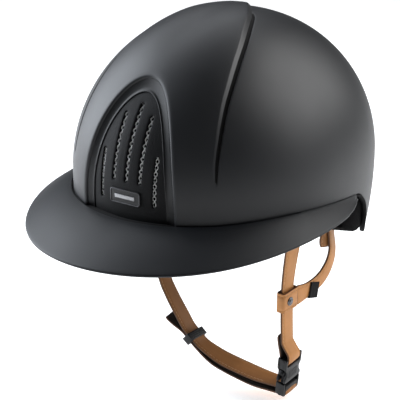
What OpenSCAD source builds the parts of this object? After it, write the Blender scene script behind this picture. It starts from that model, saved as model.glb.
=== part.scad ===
// Riding helmet with a wide brim, vented front panel and leather harness.
// Millimetres. +Z up, -Y is the front, +X is the wearer's left.
// The origin is the centre of the head opening, in the rim plane.

/* [Shell] */
// Half width of the shell at its widest level
shell_half_w = 110; // [104:1:116]
// Reach of the shell in front of the origin
shell_front = 129.8; // [124:0.1:136]
// Reach of the shell behind the origin
shell_back = 140.3; // [134:0.1:146]
// Height of the crown above the widest level
shell_rise = 120.5; // [114:0.5:126]
// Vertical half axis of the part below the widest level
shell_taper = 199; // [190:1:210]
// Height of the widest level above the rim plane
equator_z = 15; // [12:1:18]
// Roundness of the plan outline
plan_power = 2.1; // [2:0.05:2.2]
// Wall thickness of the shell
shell_wall = 3; // [2.5:0.1:3.2]
// How far the front panel's rear edge stands proud of the shell at the crown
panel_raise = 3.2; // [0:0.1:4]

/* [Front opening] */
// Half width of the opening at the brim
opening_half_w = 42; // [40:0.5:43]
// Height of the opening's apex
opening_h = 98.7; // [96:0.1:100]
// Half width of the slotted grill at the brim
grill_half_w = 34.3; // [33:0.1:35]
// Height of the grill's apex
grill_h = 88.3; // [86:0.1:90]
// Width of each slot in the grill
slot_w = 3; // [2:0.1:4]

/* [Liner and pads] */
// Depth of the foam liner's inner face below the shell's outer face
liner_depth = 25; // [23:0.5:26]
// Depth of the pads' outer faces
pad_near = 28.2; // [28:0.1:29]
// Depth of the pads' inner faces
pad_far = 33.5; // [32:0.5:35]

/* [Harness] */
// Width of every strap
strap_w = 16; // [12:1:17]
// Thickness of one strap
strap_t = 2.2; // [1.8:0.1:2.4]
// Radius of each strap rivet's shank
rivet_r = 2.5; // [2:0.1:3]
// Radial clearance of a strap on its rivet
rivet_play = 0.05; // [0.03:0.01:0.1]
// Radius of each junction stud
stud_r = 3.6; // [2.5:0.1:4.5]

/* [Buckle] */
// Width of the buckle
buckle_w = 22; // [21.5:0.5:24]
// Thickness of the buckle
buckle_t = 8.6; // [8:0.1:9]
// Lean of the buckle's foot towards the chin, degrees
buckle_lean = 10; // [8:1:12]
// Tilt of the buckle's foot towards the back, degrees
buckle_tilt = 8; // [6:1:9]
// Radius of the bars that the straps wrap round
bar_r = 2; // [1.8:0.1:2.2]
// Radius of the root of each squeezed prong
root_r = 1.6; // [1.4:0.1:1.8]
// Radial clearance of each prong's root
root_play = 0.06; // [0.03:0.01:0.1]

/* [Hidden] */
$fn = 48;

gap = 0.3;                      // clearance between pieces that only lie together
visor_end = 103;                // azimuth where the brim runs out, each side
visor_t = 3;                    // thickness of the brim
slit_foot_z = 32;               // height where the vent slits begin
frame_depth = 7;                // how deep the grill's frame reaches
floor_near = 4.4;               // depth of the grill's outer face
floor_far = 6.6;                // depth of the grill's back
mesh_near = 6.9;                // depth of the wire mesh
mesh_far = 7.7;
liner_near = shell_wall + 0.4;  // depth of the foam's outer face
pocket_depth = 9;               // depth of the foam's face behind the grill
anchor_x = 81.8;                // middle plane of a front strap at its rivet
anchor_y = -13;
anchor_z = 1;
buckle_at = [69.1, -3.8, -140.4];   // centre of the housing's strap bar
foot_bar_z = -31;               // plug's strap bar, below the housing's
housing_high = 2.6;             // housing's ends, measured from its strap bar
housing_low = -20.4;
prong_root_y = 6.2;             // distance of each prong's root from the centre line
prong_root_z = -22.6;
wrap_r = bar_r + 0.5 + strap_t / 2; // radius of a strap's middle plane round a bar
slider_at = [-22.4, -8.4, -143.6];
slider_dir = [0.75, 0.06, -0.66];
layer_gap = [-1.74, 0, -1.98];  // from the upper to the lower layer of the chin strap

// Lowest edge of the shell, foam and rear pad by azimuth: low in front behind the brim,
// arched up beside the ear, low round the nape
rim_rule = [[0, -9], [100, -9], [101.5, -4], [104, -3.4], [107, -4.6], [110, -7.4],
            [113, -11.4], [117, -18], [121, -27], [126, -43.5], [130, -50.5], [136, -52],
            [180, -52]];
foam_rule = [[0, -6], [93, -6], [97, -27], [100, -30], [106, -35], [112, -39.5], [118, -42.5],
             [123, -44], [127, -45], [136, -47], [180, -47]];
pad_rule = [[96, -30], [104, -39], [118, -42], [130, -49], [150, -55], [180, -57]];
// Height of the joint between shell and brim by azimuth
joint_rule = [[0, -1.6], [30, 0], [60, 2.3], [85, 0.6], [103, -2]];
// Azimuths of the grid's columns, one half: closer together where the rim rises
half_turn = concat([for (a = [0 : 5 : 95]) a], [for (a = [98 : 2 : 132]) a],
                   [for (a = [137 : 6 : 173]) a]);
full_turn = concat(half_turn, [180], [for (i = [len(half_turn) - 1 : -1 : 1]) 360 - half_turn[i]]);

// ---- surfaces ----

function fold(a) = a > 180 ? 360 - a : abs(a);
function mix(a, b, t) = a + (b - a) * t;
function clamp01(t) = max(0, min(1, t));
function ease(t) = let (u = clamp01(t)) u * u * (3 - 2 * u);

// Horizontal reach of the widest level at azimuth a, at depth t below the outer face
function reach(a, t) =
    let (b = cos(a) >= 0 ? shell_front : shell_back)
    pow(pow(abs(sin(a)) / (shell_half_w - t), plan_power)
        + pow(abs(cos(a)) / (b - t), plan_power), -1 / plan_power);

// Latitude at which the surface at depth t passes height z
function latitude(z, t) = asin((z - equator_z) / (z >= equator_z ? shell_rise - t : shell_taper));

// Point at azimuth a, latitude e and depth t
function skin(a, e, t) =
    let (r = reach(a, t) * cos(e), c = e >= 0 ? shell_rise - t : shell_taper)
    [r * sin(a), -r * cos(a), equator_z + c * sin(e)];

// Radius of the surface at azimuth a and height z
function radius_at(a, z, t) = reach(a, t) * cos(latitude(z, t));

// Half width of the raised front panel at height z, for an arch of half width w and height h
function panel_x(z, w, h) = w * pow(max(0, 1 - pow(max(0, z) / h, 3)), 0.4);

// How far the outer face stands proud: the panel, growing from nothing near the brim and ending
// behind the crown in a tongue
function proud(p) =
    let (edge = p[1] < -2 ? panel_x(p[2], 66.5, 136) : 27 * (31 - p[1]) / 33)
    panel_raise * ease((edge - abs(p[0])) / 6 + 0.5) * pow(ease((p[2] - 50) / 85), 2);

// Depth of the foam's outer face: a pocket behind the front opening
function foam_face(p) = p[1] < 0 && abs(p[0]) < opening_half_w + 7 && p[2] < opening_h + 9
    ? pocket_depth : liner_near;

// Brim edge: distance from the origin and height by azimuth
function brim_reach(a) = 126 + 43.9 * cos(a) + 7.1 * cos(2 * a) + 2.3 * cos(3 * a)
    + 1.4 * cos(4 * a) - 0.4 * cos(5 * a);
function brim_z(a) = -10.4 - 8.8 * cos(a) - 4.4 * cos(2 * a) - 1.2 * cos(4 * a) + 1.15 * cos(5 * a);

// ---- solids from grids of points ----

// Closed layer between two grids whose columns run right round: open at the rim, capped on top
module dome(outer, inner) {
    rows = len(outer);
    cols = len(outer[0]);
    function o(r, c) = r * cols + c % cols;
    function i(r, c) = rows * cols + o(r, c);
    polyhedron(
        points = [for (g = [outer, inner]) for (row = g) for (p = row) p],
        faces = concat(
            [for (r = [0 : rows - 2]) for (c = [0 : cols - 1]) each [
                [o(r, c), o(r + 1, c), o(r + 1, c + 1)], [o(r, c), o(r + 1, c + 1), o(r, c + 1)],
                [i(r, c), i(r + 1, c + 1), i(r + 1, c)], [i(r, c), i(r, c + 1), i(r + 1, c + 1)]]],
            [for (c = [0 : cols - 1]) each [
                [o(0, c), o(0, c + 1), i(0, c + 1)], [o(0, c), i(0, c + 1), i(0, c)]]],
            [[for (c = [cols - 1 : -1 : 0]) o(rows - 1, c)], [for (c = [0 : cols - 1]) i(rows - 1, c)]]
        ));
}

// Closed layer between two grids with four edges
module patch(outer, inner) {
    rows = len(outer);
    cols = len(outer[0]);
    function o(r, c) = r * cols + c;
    function i(r, c) = rows * cols + r * cols + c;
    top = rows - 1;
    end = cols - 1;
    polyhedron(
        points = [for (g = [outer, inner]) for (row = g) for (p = row) p],
        faces = concat(
            [for (r = [0 : rows - 2]) for (c = [0 : cols - 2]) each [
                [o(r, c), o(r + 1, c), o(r + 1, c + 1)], [o(r, c), o(r + 1, c + 1), o(r, c + 1)],
                [i(r, c), i(r + 1, c + 1), i(r + 1, c)], [i(r, c), i(r, c + 1), i(r + 1, c + 1)]]],
            [for (c = [0 : cols - 2]) each [
                [o(0, c), o(0, c + 1), i(0, c + 1)], [o(0, c), i(0, c + 1), i(0, c)],
                [o(top, c), i(top, c), i(top, c + 1)], [o(top, c), i(top, c + 1), o(top, c + 1)]]],
            [for (r = [0 : rows - 2]) each [
                [o(r, 0), i(r, 0), i(r + 1, 0)], [o(r, 0), i(r + 1, 0), o(r + 1, 0)],
                [o(r, end), i(r + 1, end), i(r, end)], [o(r, end), o(r + 1, end), i(r + 1, end)]]]
        ));
}

// Grid of points on the surface at depth t: each column runs from its low to its high edge
function sheet(azimuths, low, high, rows, t) =
    [for (r = [0 : rows]) [for (a = azimuths)
        skin(a, mix(latitude(low(a), t), latitude(high(a), t), r / rows), t)]];

// Pad or band of the surface between azimuths and heights, from depth near to depth far
module band(azimuths, low, high, rows, near, far) {
    patch(sheet(azimuths, low, high, rows, near), sheet(azimuths, low, high, rows, far));
}

// Smooth curve through hand-placed points, n steps a span
function smooth(p, n) = concat(
    [for (i = [0 : len(p) - 2]) for (k = [0 : n - 1])
        let (t = k / n, a = p[i], b = p[i + 1],
             da = (b - p[max(0, i - 1)]) / 2, db = (p[min(len(p) - 1, i + 2)] - a) / 2)
        a * (2 * t * t * t - 3 * t * t + 1) + da * (t * t * t - 2 * t * t + t)
        + b * (3 * t * t - 2 * t * t * t) + db * (t * t * t - t * t)],
    [p[len(p) - 1]]);

// Flat strap along a smooth route; across holds the width direction at each route point
module strap(route, across, w = strap_w, t = strap_t) {
    n = 4;
    path = smooth(route, n);
    side = smooth(across, n);
    last = len(path) - 1;
    rings = [for (i = [0 : last])
        let (along = path[min(last, i + 1)] - path[max(0, i - 1)],
             s = side[i] / norm(side[i]),
             up0 = cross(along, s), up = up0 / norm(up0) * t / 2, half = s * w / 2)
        [path[i] + half + up, path[i] - half + up, path[i] - half - up, path[i] + half - up]];
    polyhedron(
        points = [for (ring = rings) each ring],
        faces = concat(
            [for (i = [0 : last - 1]) for (k = [0 : 3])
                let (a = 4 * i + k, b = 4 * i + (k + 1) % 4)
                each [[a, b, b + 4], [a, b + 4, a + 4]]],
            [[3, 2, 1, 0], [for (k = [0 : 3]) 4 * last + k]]));
}

// Half-ellipse arch standing on z = 0, as a prism through the front of the helmet
module arch_prism(w, h) {
    translate([0, -60, 0])
        rotate([90, 0, 0])
            linear_extrude(100)
                polygon(concat([[w, -12]], [for (t = [0 : 6 : 180]) [w * cos(t), h * sin(t)]],
                               [[-w, -12]]));
}

// ---- shell group ----

// Crescent between the front panel's lip and the shell behind it
module slit_cutter() {
    top = 128;
    heights = [for (z = [slit_foot_z : 6 : top]) z];
    translate([0, 6, 0])
        rotate([90, 0, 0])
            linear_extrude(140)
                polygon(concat([for (z = heights) [panel_x(z, 66.8, 136), z]],
                               [for (z = [top : -6 : slit_foot_z])
                                   [panel_x(z, 66.8, 136) + 1.2 + 2.2 * ease((z - slit_foot_z) / 60), z]]));
}

module outer_shell() {
    rows = 16;
    function lift(p, e, a) = p + proud(p) * [sin(a) * cos(e), -cos(a) * cos(e), sin(e)];
    function rows_at(t) = [for (r = [0 : rows]) [for (a = full_turn)
        let (e = mix(latitude(lookup(fold(a), rim_rule), t), 88, r / rows))
        t == 0 ? lift(skin(a, e, t), e, a) : skin(a, e, t)]];
    color("#33383f")
    difference() {
        dome(rows_at(0), rows_at(shell_wall));
        arch_prism(opening_half_w + gap, opening_h + gap);
        slit_cutter();
        mirror([1, 0, 0]) slit_cutter();
    }
}

module visor() {
    steps = 6;
    function across(a, low) =
        let (z0 = lookup(abs(a), joint_rule), r0 = radius_at(a, z0, 0) + 1.3,
             r1 = brim_reach(a), z1 = brim_z(a), thin = low ? 1 : 0)
        [for (k = [0 : steps])
            let (t = k / steps, r = mix(r0, r1, t),
                 bulge = 1.6 * sin(180 * t) * clamp01((r1 - r0) / 20))
            [r * sin(a), -r * cos(a),
             mix(z0, z1, t) + bulge - thin * mix(visor_t + 3, 1.4, pow(t, 0.6))]];
    azimuths = [-visor_end : visor_end / 26 : visor_end];
    function grid(low) = [for (k = [0 : steps]) [for (a = azimuths) across(a, low)[k]]];
    color("#363b42") patch(grid(true), grid(false));
}

module visor_gasket() {
    azimuths = [-68 : 4 : 68];
    function foot(a) = lookup(abs(a), joint_rule) - 4;
    function head(a) = lookup(abs(a), joint_rule) + 0.4;
    color("#101113") band(azimuths, function(a) foot(a), function(a) head(a), 1, -1.05, -0.2);
}

module rim_trim() {
    azimuths = [for (a = full_turn) if (a > 103 && a < 257) a];
    function foot(a) = lookup(fold(a), rim_rule) - 2.4;
    function head(a) = lookup(fold(a), rim_rule) - 0.3;
    color("#17181a") band(azimuths, function(a) foot(a), function(a) head(a), 1, -0.8, 3.1);
}

// Piece of the front surface cut to an arch
module front_layer(near, far, w, h) {
    intersection() {
        band([-32 : 4 : 32], function(a) -5, function(a) 108, 18, near, far);
        arch_prism(w, h);
    }
}

module grill_frame() {
    color("#1b1d20")
    difference() {
        front_layer(0.6, frame_depth - 0.3, opening_half_w, opening_h);
        arch_prism(grill_half_w, grill_h);
    }
}

module slot_cutter(x, low, high) {
    translate([x, -60, 0])
        rotate([90, 0, 0])
            linear_extrude(100) {
                translate([-slot_w / 2, low]) square([slot_w, high - low]);
                translate([0, low]) circle(d = slot_w);
                translate([0, high]) circle(d = slot_w);
            }
}

module front_grill() {
    color("#24272b")
    difference() {
        front_layer(floor_near, floor_far, grill_half_w - gap, grill_h - gap);
        slot_cutter(0, 26.8, 79.7);
        for (side = [-1, 1]) {
            slot_cutter(side * 12, 26.8, 72.4);
            slot_cutter(side * 24.5, 11, 45.5);
        }
    }
}

module vent_mesh() {
    color("#b9bcc0")
        band([-16 : 4 : 16], function(a) 4, function(a) 84, 10, mesh_near, mesh_far);
}

module badge_plate() {
    plate_w = 28;
    plate_h = 11;
    corner = 2;
    color("#15161a")
    translate([0, -126.4, 14.2])
        rotate([90, 0, 0])
            linear_extrude(1.8) {
                square([plate_w - 2 * corner, plate_h], center = true);
                square([plate_w, plate_h - 2 * corner], center = true);
                for (x = [-1, 1], z = [-1, 1])
                    translate([x * (plate_w / 2 - corner), z * (plate_h / 2 - corner)])
                        circle(corner);
            }
}

// ---- liner group ----

module eps_liner() {
    rows = 15;
    function face(t) = [for (r = [0 : rows]) [for (a = full_turn)
        let (e = mix(latitude(lookup(fold(a), foam_rule), t), 87, r / rows))
        skin(a, e, t)]];
    near = [for (r = [0 : rows]) [for (a = full_turn)
        let (e = mix(latitude(lookup(fold(a), foam_rule), liner_near), 87, r / rows),
             p = skin(a, e, liner_near))
        skin(a, e, foam_face(p))]];
    color("#1c1d1f") dome(near, face(liner_depth));
}

module crown_pad() {
    turn = [0 : 10 : 350];
    function face(t) = [for (e = [52, 60, 68, 76, 84]) [for (a = turn) skin(a, e, t)]];
    color("#1a1b1d") dome(face(pad_near), face(pad_far));
}

module brow_pad() {
    color("#1f2023")
        band([-58 : 4 : 58], function(a) -5, function(a) 24, 3, pad_near, pad_far);
}

module temple_pad() {
    band([63 : 4.25 : 97], function(a) 15, function(a) 42, 3, pad_near, pad_far);
}

module left_temple_pad() {
    color("#1f2023") temple_pad();
}

module right_temple_pad() {
    color("#1f2023") mirror([1, 0, 0]) temple_pad();
}

// Thinner where the rear straps and their rivets pass between this pad and the foam
module nape_pad() {
    azimuths = [98 : 4 : 262];
    rows = 3;
    foot = function(a) lookup(fold(a), pad_rule);
    head = function(a) -2;
    function near(a) = pad_near + (abs(fold(a) - 124) < 7 ? 2.8 : 0);
    outer = [for (r = [0 : rows]) [for (a = azimuths)
        let (t = near(a))
        skin(a, mix(latitude(foot(a), t), latitude(head(a), t), r / rows), t)]];
    color("#202124") patch(outer, sheet(azimuths, foot, head, rows, pad_far));
}

module hook_patches() {
    half = 5;
    patch_gap = 0.5;
    color("#0e0e10") {
        for (a = [-45, 0, 45])
            band([a - half, a, a + half], function(a) 4, function(a) 16, 1,
                 liner_depth + patch_gap, pad_near - patch_gap);
        for (a = [-90, 90])
            band([a - half, a, a + half], function(a) 22, function(a) 36, 1,
                 liner_depth + patch_gap, pad_near - patch_gap);
        for (a = [150, 210])
            band([a - half, a, a + half], function(a) -28, function(a) -14, 1,
                 liner_depth + patch_gap, pad_near - patch_gap);
        for (a = [0, 120, 240])
            patch([for (e = [62, 67]) [for (k = [-8, 0, 8]) skin(a + k, e, liner_depth + patch_gap)]],
                  [for (e = [62, 67]) [for (k = [-8, 0, 8]) skin(a + k, e, pad_near - patch_gap)]]);
    }
}

// Rivet along local +Z: head at the origin, shank outwards
module rivet() {
    translate([0, 0, -1.6]) cylinder(r = 4.6, h = 1.6);
    cylinder(r = rivet_r, h = 9);
}

rear_rivet = [74.0, 50.6, -13];
rear_turn = 20;                 // direction of the rear rivets, from +X towards +Y

module strap_rivets() {
    color("#3a3c40")
    for (side = [0, 1]) mirror([side, 0, 0]) {
        translate([anchor_x - strap_t / 2 - 0.15, anchor_y, anchor_z])
            rotate([0, 90, 0]) rivet();
        translate(rear_rivet)
            rotate([0, 90, rear_turn]) translate([0, 0, -strap_t / 2 - 0.5]) rivet();
    }
}

// ---- harness ----

// Place children in the buckle's frame: origin on the housing's strap bar, foot towards -Z
module in_buckle() {
    translate(buckle_at) rotate([buckle_tilt, buckle_lean, 0]) children();
}

buckle_out = [cos(buckle_lean), 0, -sin(buckle_lean)];
buckle_up = [cos(buckle_tilt) * sin(buckle_lean), -sin(buckle_tilt),
             cos(buckle_tilt) * cos(buckle_lean)];
buckle_across = cross(buckle_up, buckle_out);
across_y = [0, 1, 0];

// Half turn of a strap round a bar, between two angles measured from the buckle's outer side
function wrap(centre, from, to) = [for (k = [0 : 4])
    let (t = mix(from, to, k / 4)) centre + wrap_r * (buckle_out * cos(t) + buckle_up * sin(t))];

front_top = [[anchor_x, anchor_y, 8], [anchor_x, anchor_y, anchor_z], [anchor_x - 0.3, -13, -7]];
left_hang = concat(front_top, [[80, -13, -20], [76, -12.6, -38], [71.5, -11, -62], [68.6, -9, -80],
                               [67.8, -8, -96], [67.3, -6.8, -112], [67.3, -6.3, -122],
                               [67.7, -6.1, -126.6], [70.6, -5.4, -131.8], [73, -4.7, -136.4]]);
left_fold = [[64.9, -4.6, -134], [64.2, -5.6, -127], [63.9, -6.3, -119.5]];
left_route = concat(left_hang, wrap(buckle_at, 0, -180), left_fold);
left_across = concat([for (p = left_hang) across_y], [for (k = [0 : 4]) buckle_across],
                     [for (p = left_fold) across_y]);
right_route = concat(front_top, [[80, -13, -20], [77, -13, -36], [71.7, -13, -58],
                                 [61.8, -12.6, -77], [54.8, -12, -91.8]]);
rear_route = [[74, 50.6, -6], [74, 50.6, -13], [73.1, 50, -24], [71.3, 49.2, -40],
              [71.8, 50.4, -54], [73, 50, -62], [73.3, 47.5, -70.5], [72.8, 42.5, -78],
              [72.2, 35, -83.8], [71.6, 25, -87.2], [71, 13, -88.7], [70.6, 4.6, -88.8]];
tangent_rear = [-0.34, 0.94, 0];
rear_across = [tangent_rear, tangent_rear, tangent_rear, tangent_rear, [-0.3, 0.95, 0],
               [-0.25, 0.95, -0.18], [-0.15, 0.9, -0.42], [-0.08, 0.73, -0.68],
               [0, 0.46, -0.88], [0, 0.22, -0.98], [0, 0.08, -1], [0, 0, -1]];

// Bore for a rivet at the strap's anchor
module anchor_bore() {
    translate([anchor_x - 10, anchor_y, anchor_z])
        rotate([0, 90, 0]) cylinder(r = rivet_r + rivet_play, h = 20);
}

module left_front_strap() {
    color("#c58f5e")
        difference() {
            strap(left_route, left_across);
            anchor_bore();
        }
}

module right_front_strap() {
    color("#c58f5e")
    mirror([1, 0, 0])
        difference() {
            strap(right_route, [for (p = right_route) across_y]);
            anchor_bore();
        }
}

module rear_strap(lean) {
    last = len(rear_route) - 1;
    route = [for (i = [0 : last]) rear_route[i] - lean * ease((i - 3) / (last - 3))];
    difference() {
        strap(route, rear_across);
        translate(rear_rivet)
            rotate([0, 90, rear_turn])
                translate([0, 0, -10]) cylinder(r = rivet_r + rivet_play, h = 20);
    }
}

module left_rear_strap() {
    color("#b98352") rear_strap([0, 0, 0]);
}

module right_rear_strap() {
    // leans in with the right front strap, so it ends nearer the middle
    color("#b98352") mirror([1, 0, 0]) rear_strap([12.8, 4, -3]);
}

module rear_strap_tail() {
    route = [[70.6, 41, -46], [70.2, 40, -54], [70.4, 39, -62]];
    color("#7a4a26") strap(route, [for (p = route) tangent_rear], 10);
}

// Stitched leather tab that holds a rear strap to a front strap
module junction_loop() {
    wrap_w = strap_w + 5;
    difference() {
        translate([-4.2, -wrap_w / 2, -9]) cube([8.4, wrap_w, 18]);
        translate([-1.7, -strap_w / 2 - 0.7, -10]) cube([3.4, strap_w + 1.4, 20]);
    }
}

module left_junction_loop() {
    color("#a87243")
        translate([68.2, -8.4, -89]) rotate([3, 3, 0]) junction_loop();
}

module right_junction_loop() {
    color("#a87243")
        translate([-58.2, -12.3, -84.6]) rotate([0, -25, 0]) junction_loop();
}

module junction_studs() {
    color("#2c2d30") {
        translate([68.2, -8.4, -89]) rotate([3, 3, 0]) translate([4.4, -2, 0])
            rotate([0, 90, 0]) cylinder(r = stud_r, h = 1.8);
        translate([-58.2, -12.3, -84.6]) rotate([0, -25, 0]) translate([-4.4, -2, 0])
            rotate([0, -90, 0]) cylinder(r = stud_r, h = 1.8);
    }
}

module label_tag() {
    color("#0c0c0d")
        translate([73.2, 17, -97]) cube([1, 13, 14]);
}

// ---- buckle ----

module rounded_plate(w, h, r, t) {
    rotate([90, 0, 90])
        translate([0, 0, -t / 2])
            linear_extrude(t) {
                square([w - 2 * r, h], center = true);
                square([w, h - 2 * r], center = true);
                for (x = [-1, 1], y = [-1, 1])
                    translate([x * (w / 2 - r), y * (h / 2 - r)]) circle(r);
            }
}

module strap_bar(z) {
    translate([0, strap_w / 2 + 1.5, z]) rotate([90, 0, 0]) cylinder(r = bar_r, h = strap_w + 3);
}

module buckle_housing() {
    color("#141517")
    in_buckle() {
        difference() {
            translate([0, 0, (housing_high + housing_low) / 2])
                rounded_plate(buckle_w, housing_high - housing_low, 3, buckle_t);
            // window for the strap fold
            translate([-10, -strap_w / 2 - 0.7, -5]) cube([20, strap_w + 1.4, 12]);
            // mouth for the plug
            translate([-2.7, -8.6, housing_low - 1]) cube([5.4, 17.2, 15]);
            // side openings for the prongs
            for (side = [-1, 1])
                translate([-2.7, side * 10.6 - 2.6, housing_low - 1]) cube([5.4, 5.2, 12.4]);
        }
        strap_bar(0);
    }
}

module buckle_plug() {
    socket = root_r + root_play;
    high = housing_low - 0.5;
    low = foot_bar_z - 2.4;
    color("#1a1b1e")
    in_buckle() {
        difference() {
            translate([0, 0, (high + low) / 2]) rounded_plate(buckle_w, high - low, 2.5, buckle_t);
            translate([-10, -strap_w / 2 - 0.3, low - 1])
                cube([20, strap_w + 0.6, foot_bar_z - low + 6.8]);
            for (side = [-1, 1]) {
                translate([-2.5, side * prong_root_y - socket, prong_root_z])
                    cube([5, 2 * socket, 6]);
                translate([-2.5, side * prong_root_y, prong_root_z])
                    rotate([0, 90, 0]) cylinder(r = socket, h = 5);
            }
        }
        strap_bar(foot_bar_z);
        translate([-2.2, -1.8, high - 0.5]) cube([4.4, 3.6, 13]);
    }
}

// Prong on the +Y side: round root, slim arm and an outward barb
module prong() {
    arm_t = 4.4;
    translate([-arm_t / 2, prong_root_y, prong_root_z]) {
        rotate([0, 90, 0]) cylinder(r = root_r, h = arm_t);
        rotate([90, 0, 90])
            linear_extrude(arm_t)
                polygon([[-1, 0], [1, 0], [1.2, 4], [2, 8], [4.5, 9.4], [4.3, 12], [1.8, 14],
                         [0, 14], [-0.6, 8]]);
    }
}

module rear_prong() {
    color("#1f2023") in_buckle() prong();
}

module front_prong() {
    color("#1f2023") in_buckle() mirror([0, 1, 0]) prong();
}

// ---- chin strap ----

foot_bar = buckle_at + foot_bar_z * buckle_up;
chin_tilt = [0, 0.96, 0.28];
chin_hang = [[-52.6, -12, -96.2], [-49.6, -12, -103], [-43.4, -11.2, -114.5], [-36.5, -10, -126],
             slider_at - 9 * slider_dir, slider_at, slider_at + 9 * slider_dir,
             [-4, -6.4, -155.5], [8.4, -4.6, -160.2], [34, -2, -165.4], [51, -0.6, -167]];
chin_fold = [foot_bar - wrap_r * buckle_up - 4 * buckle_out];
chin_route = concat(chin_hang, wrap(foot_bar, 90, -90), chin_fold);
chin_across = concat([for (i = [0 : len(chin_hang) - 1])
                         mix(across_y, chin_tilt, ease((i - 6) / 2) * ease((11 - i) / 2))],
                     [for (k = [0 : 5]) buckle_across]);
return_route = [[-46.5, -12, -129], [-39.8, -10.8, -134], slider_at - 9 * slider_dir + layer_gap,
                slider_at + layer_gap, slider_at + 9 * slider_dir + layer_gap,
                [-5, -6.8, -159.6], [8, -4.8, -164.6], [33, -2, -170.6], [50, 0, -172.7],
                foot_bar - wrap_r * buckle_up - 4.6 * buckle_out];
return_across = [for (i = [0 : len(return_route) - 1])
    i == len(return_route) - 1 ? buckle_across
    : mix(across_y, chin_tilt, ease((i - 4) / 2) * ease((9 - i) / 2))];

module chin_strap() {
    color("#c58f5e") strap(chin_route, chin_across);
}

module strap_return() {
    color("#8a5630") strap(return_route, return_across);
}

module strap_slider() {
    turn = atan2(slider_dir[0], -slider_dir[2]);
    wall = 1.5;
    window = 2 * strap_t + 1.6;
    color("#17181a")
    translate(slider_at + layer_gap / 2)
        rotate([0, -turn, 0])
            difference() {
                cube([window + 2 * wall, strap_w + 4.4, 7], center = true);
                cube([window, strap_w + 1.6, 9], center = true);
            }
}

outer_shell();
visor();
visor_gasket();
rim_trim();
grill_frame();
front_grill();
vent_mesh();
badge_plate();
eps_liner();
crown_pad();
brow_pad();
left_temple_pad();
right_temple_pad();
nape_pad();
hook_patches();
strap_rivets();
left_front_strap();
right_front_strap();
left_rear_strap();
right_rear_strap();
rear_strap_tail();
left_junction_loop();
right_junction_loop();
junction_studs();
label_tag();
buckle_housing();
chin_strap();
strap_return();
buckle_plug();
front_prong();
rear_prong();
strap_slider();
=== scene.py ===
"""Riding helmet: the visual model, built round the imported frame.

Lengths are in millimetres in the row frame (+Z up, -Y front, +X the wearer's left) until
add_mesh() turns them into metres.
"""
from math import ceil, cos, pi, radians, sin, sqrt

import bpy
import bmesh
import numpy as np
from mathutils import Matrix, Vector, noise
from mathutils.geometry import delaunay_2d_cdt


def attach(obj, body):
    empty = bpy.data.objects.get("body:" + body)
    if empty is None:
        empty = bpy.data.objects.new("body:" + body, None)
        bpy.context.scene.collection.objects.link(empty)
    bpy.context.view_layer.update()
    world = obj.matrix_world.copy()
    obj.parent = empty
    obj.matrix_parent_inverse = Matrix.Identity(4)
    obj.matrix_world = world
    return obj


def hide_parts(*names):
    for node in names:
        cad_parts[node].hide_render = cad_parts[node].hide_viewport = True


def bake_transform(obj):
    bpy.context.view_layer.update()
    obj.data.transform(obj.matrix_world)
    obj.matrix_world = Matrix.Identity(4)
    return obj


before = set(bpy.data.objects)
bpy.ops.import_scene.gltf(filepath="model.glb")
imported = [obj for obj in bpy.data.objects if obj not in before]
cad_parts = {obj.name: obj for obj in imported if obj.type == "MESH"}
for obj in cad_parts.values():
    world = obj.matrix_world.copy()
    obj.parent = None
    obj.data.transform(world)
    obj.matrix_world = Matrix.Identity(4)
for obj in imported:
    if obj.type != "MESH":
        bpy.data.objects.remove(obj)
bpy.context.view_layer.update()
MM = 0.001

# ---------------------------------------------------------------- dimensions
HALF_W, FRONT, BACK = 110.0, 129.8, 140.3     # shell's plan half axes
RISE, TAPER, EQUATOR = 120.5, 199.0, 15.0     # half axes above and below the widest level
PLAN_POWER = 2.1
SHELL_WALL = 3.0
ARCH_W, ARCH_H = 42.0, 98.7                   # front opening
ARCH_FOOT = -9.0                              # its foot, hidden by the brim
GRILL_W, GRILL_H = 34.3, 88.3                 # slotted floor inside it
FLOOR_DEPTH = 4.6
MESH_DEPTH, WIRE_R = 6.6, 0.42                # wire mesh behind the floor
SLOT_W = 3.4
STRAP_W, STRAP_T = 16.0, 2.2
CREASE = 38                                   # angle above which an edge stays crisp
CENTRE = np.array([0.0, 0.0, EQUATOR])


# ---------------------------------------------------------------- small maths
def smoothstep(lo, hi, x):
    t = np.clip((np.asarray(x, float) - lo) / (hi - lo), 0, 1)
    return t * t * (3 - 2 * t)


def lerp(a, b, t):
    return a + (b - a) * t


def unit(v):
    v = np.asarray(v, float)
    return v / np.maximum(np.linalg.norm(v, axis=-1, keepdims=True), 1e-12)


def spline(knots, values, x):
    """Smooth curve (monotone where the values are) through values at knots; x may be an array."""
    knots, values = np.asarray(knots, float), np.asarray(values, float)
    flat = values.ndim == 1
    if flat:
        values = values[:, None]
    x = np.clip(np.atleast_1d(np.asarray(x, float)), knots[0], knots[-1])
    gap = np.diff(knots)[:, None]
    slope = np.diff(values, axis=0) / gap
    tangent = np.zeros_like(values)
    tangent[0], tangent[-1] = slope[0], slope[-1]
    inner = (slope[:-1] * gap[1:] + slope[1:] * gap[:-1]) / (gap[:-1] + gap[1:])
    if flat:
        same = slope[:-1] * slope[1:] > 0
        limit = 3 * np.minimum(np.abs(slope[:-1]), np.abs(slope[1:]))
        inner = np.where(same, np.sign(inner) * np.minimum(np.abs(inner), limit), 0)
    tangent[1:-1] = inner
    i = np.clip(np.searchsorted(knots, x, side="right") - 1, 0, len(knots) - 2)
    h = (knots[i + 1] - knots[i])[:, None]
    t = (x - knots[i])[:, None] / h
    out = (values[i] * (2 * t**3 - 3 * t**2 + 1) + tangent[i] * h * (t**3 - 2 * t**2 + t)
           + values[i + 1] * (3 * t**2 - 2 * t**3) + tangent[i + 1] * h * (t**3 - t**2))
    return out[:, 0] if flat else out


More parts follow.
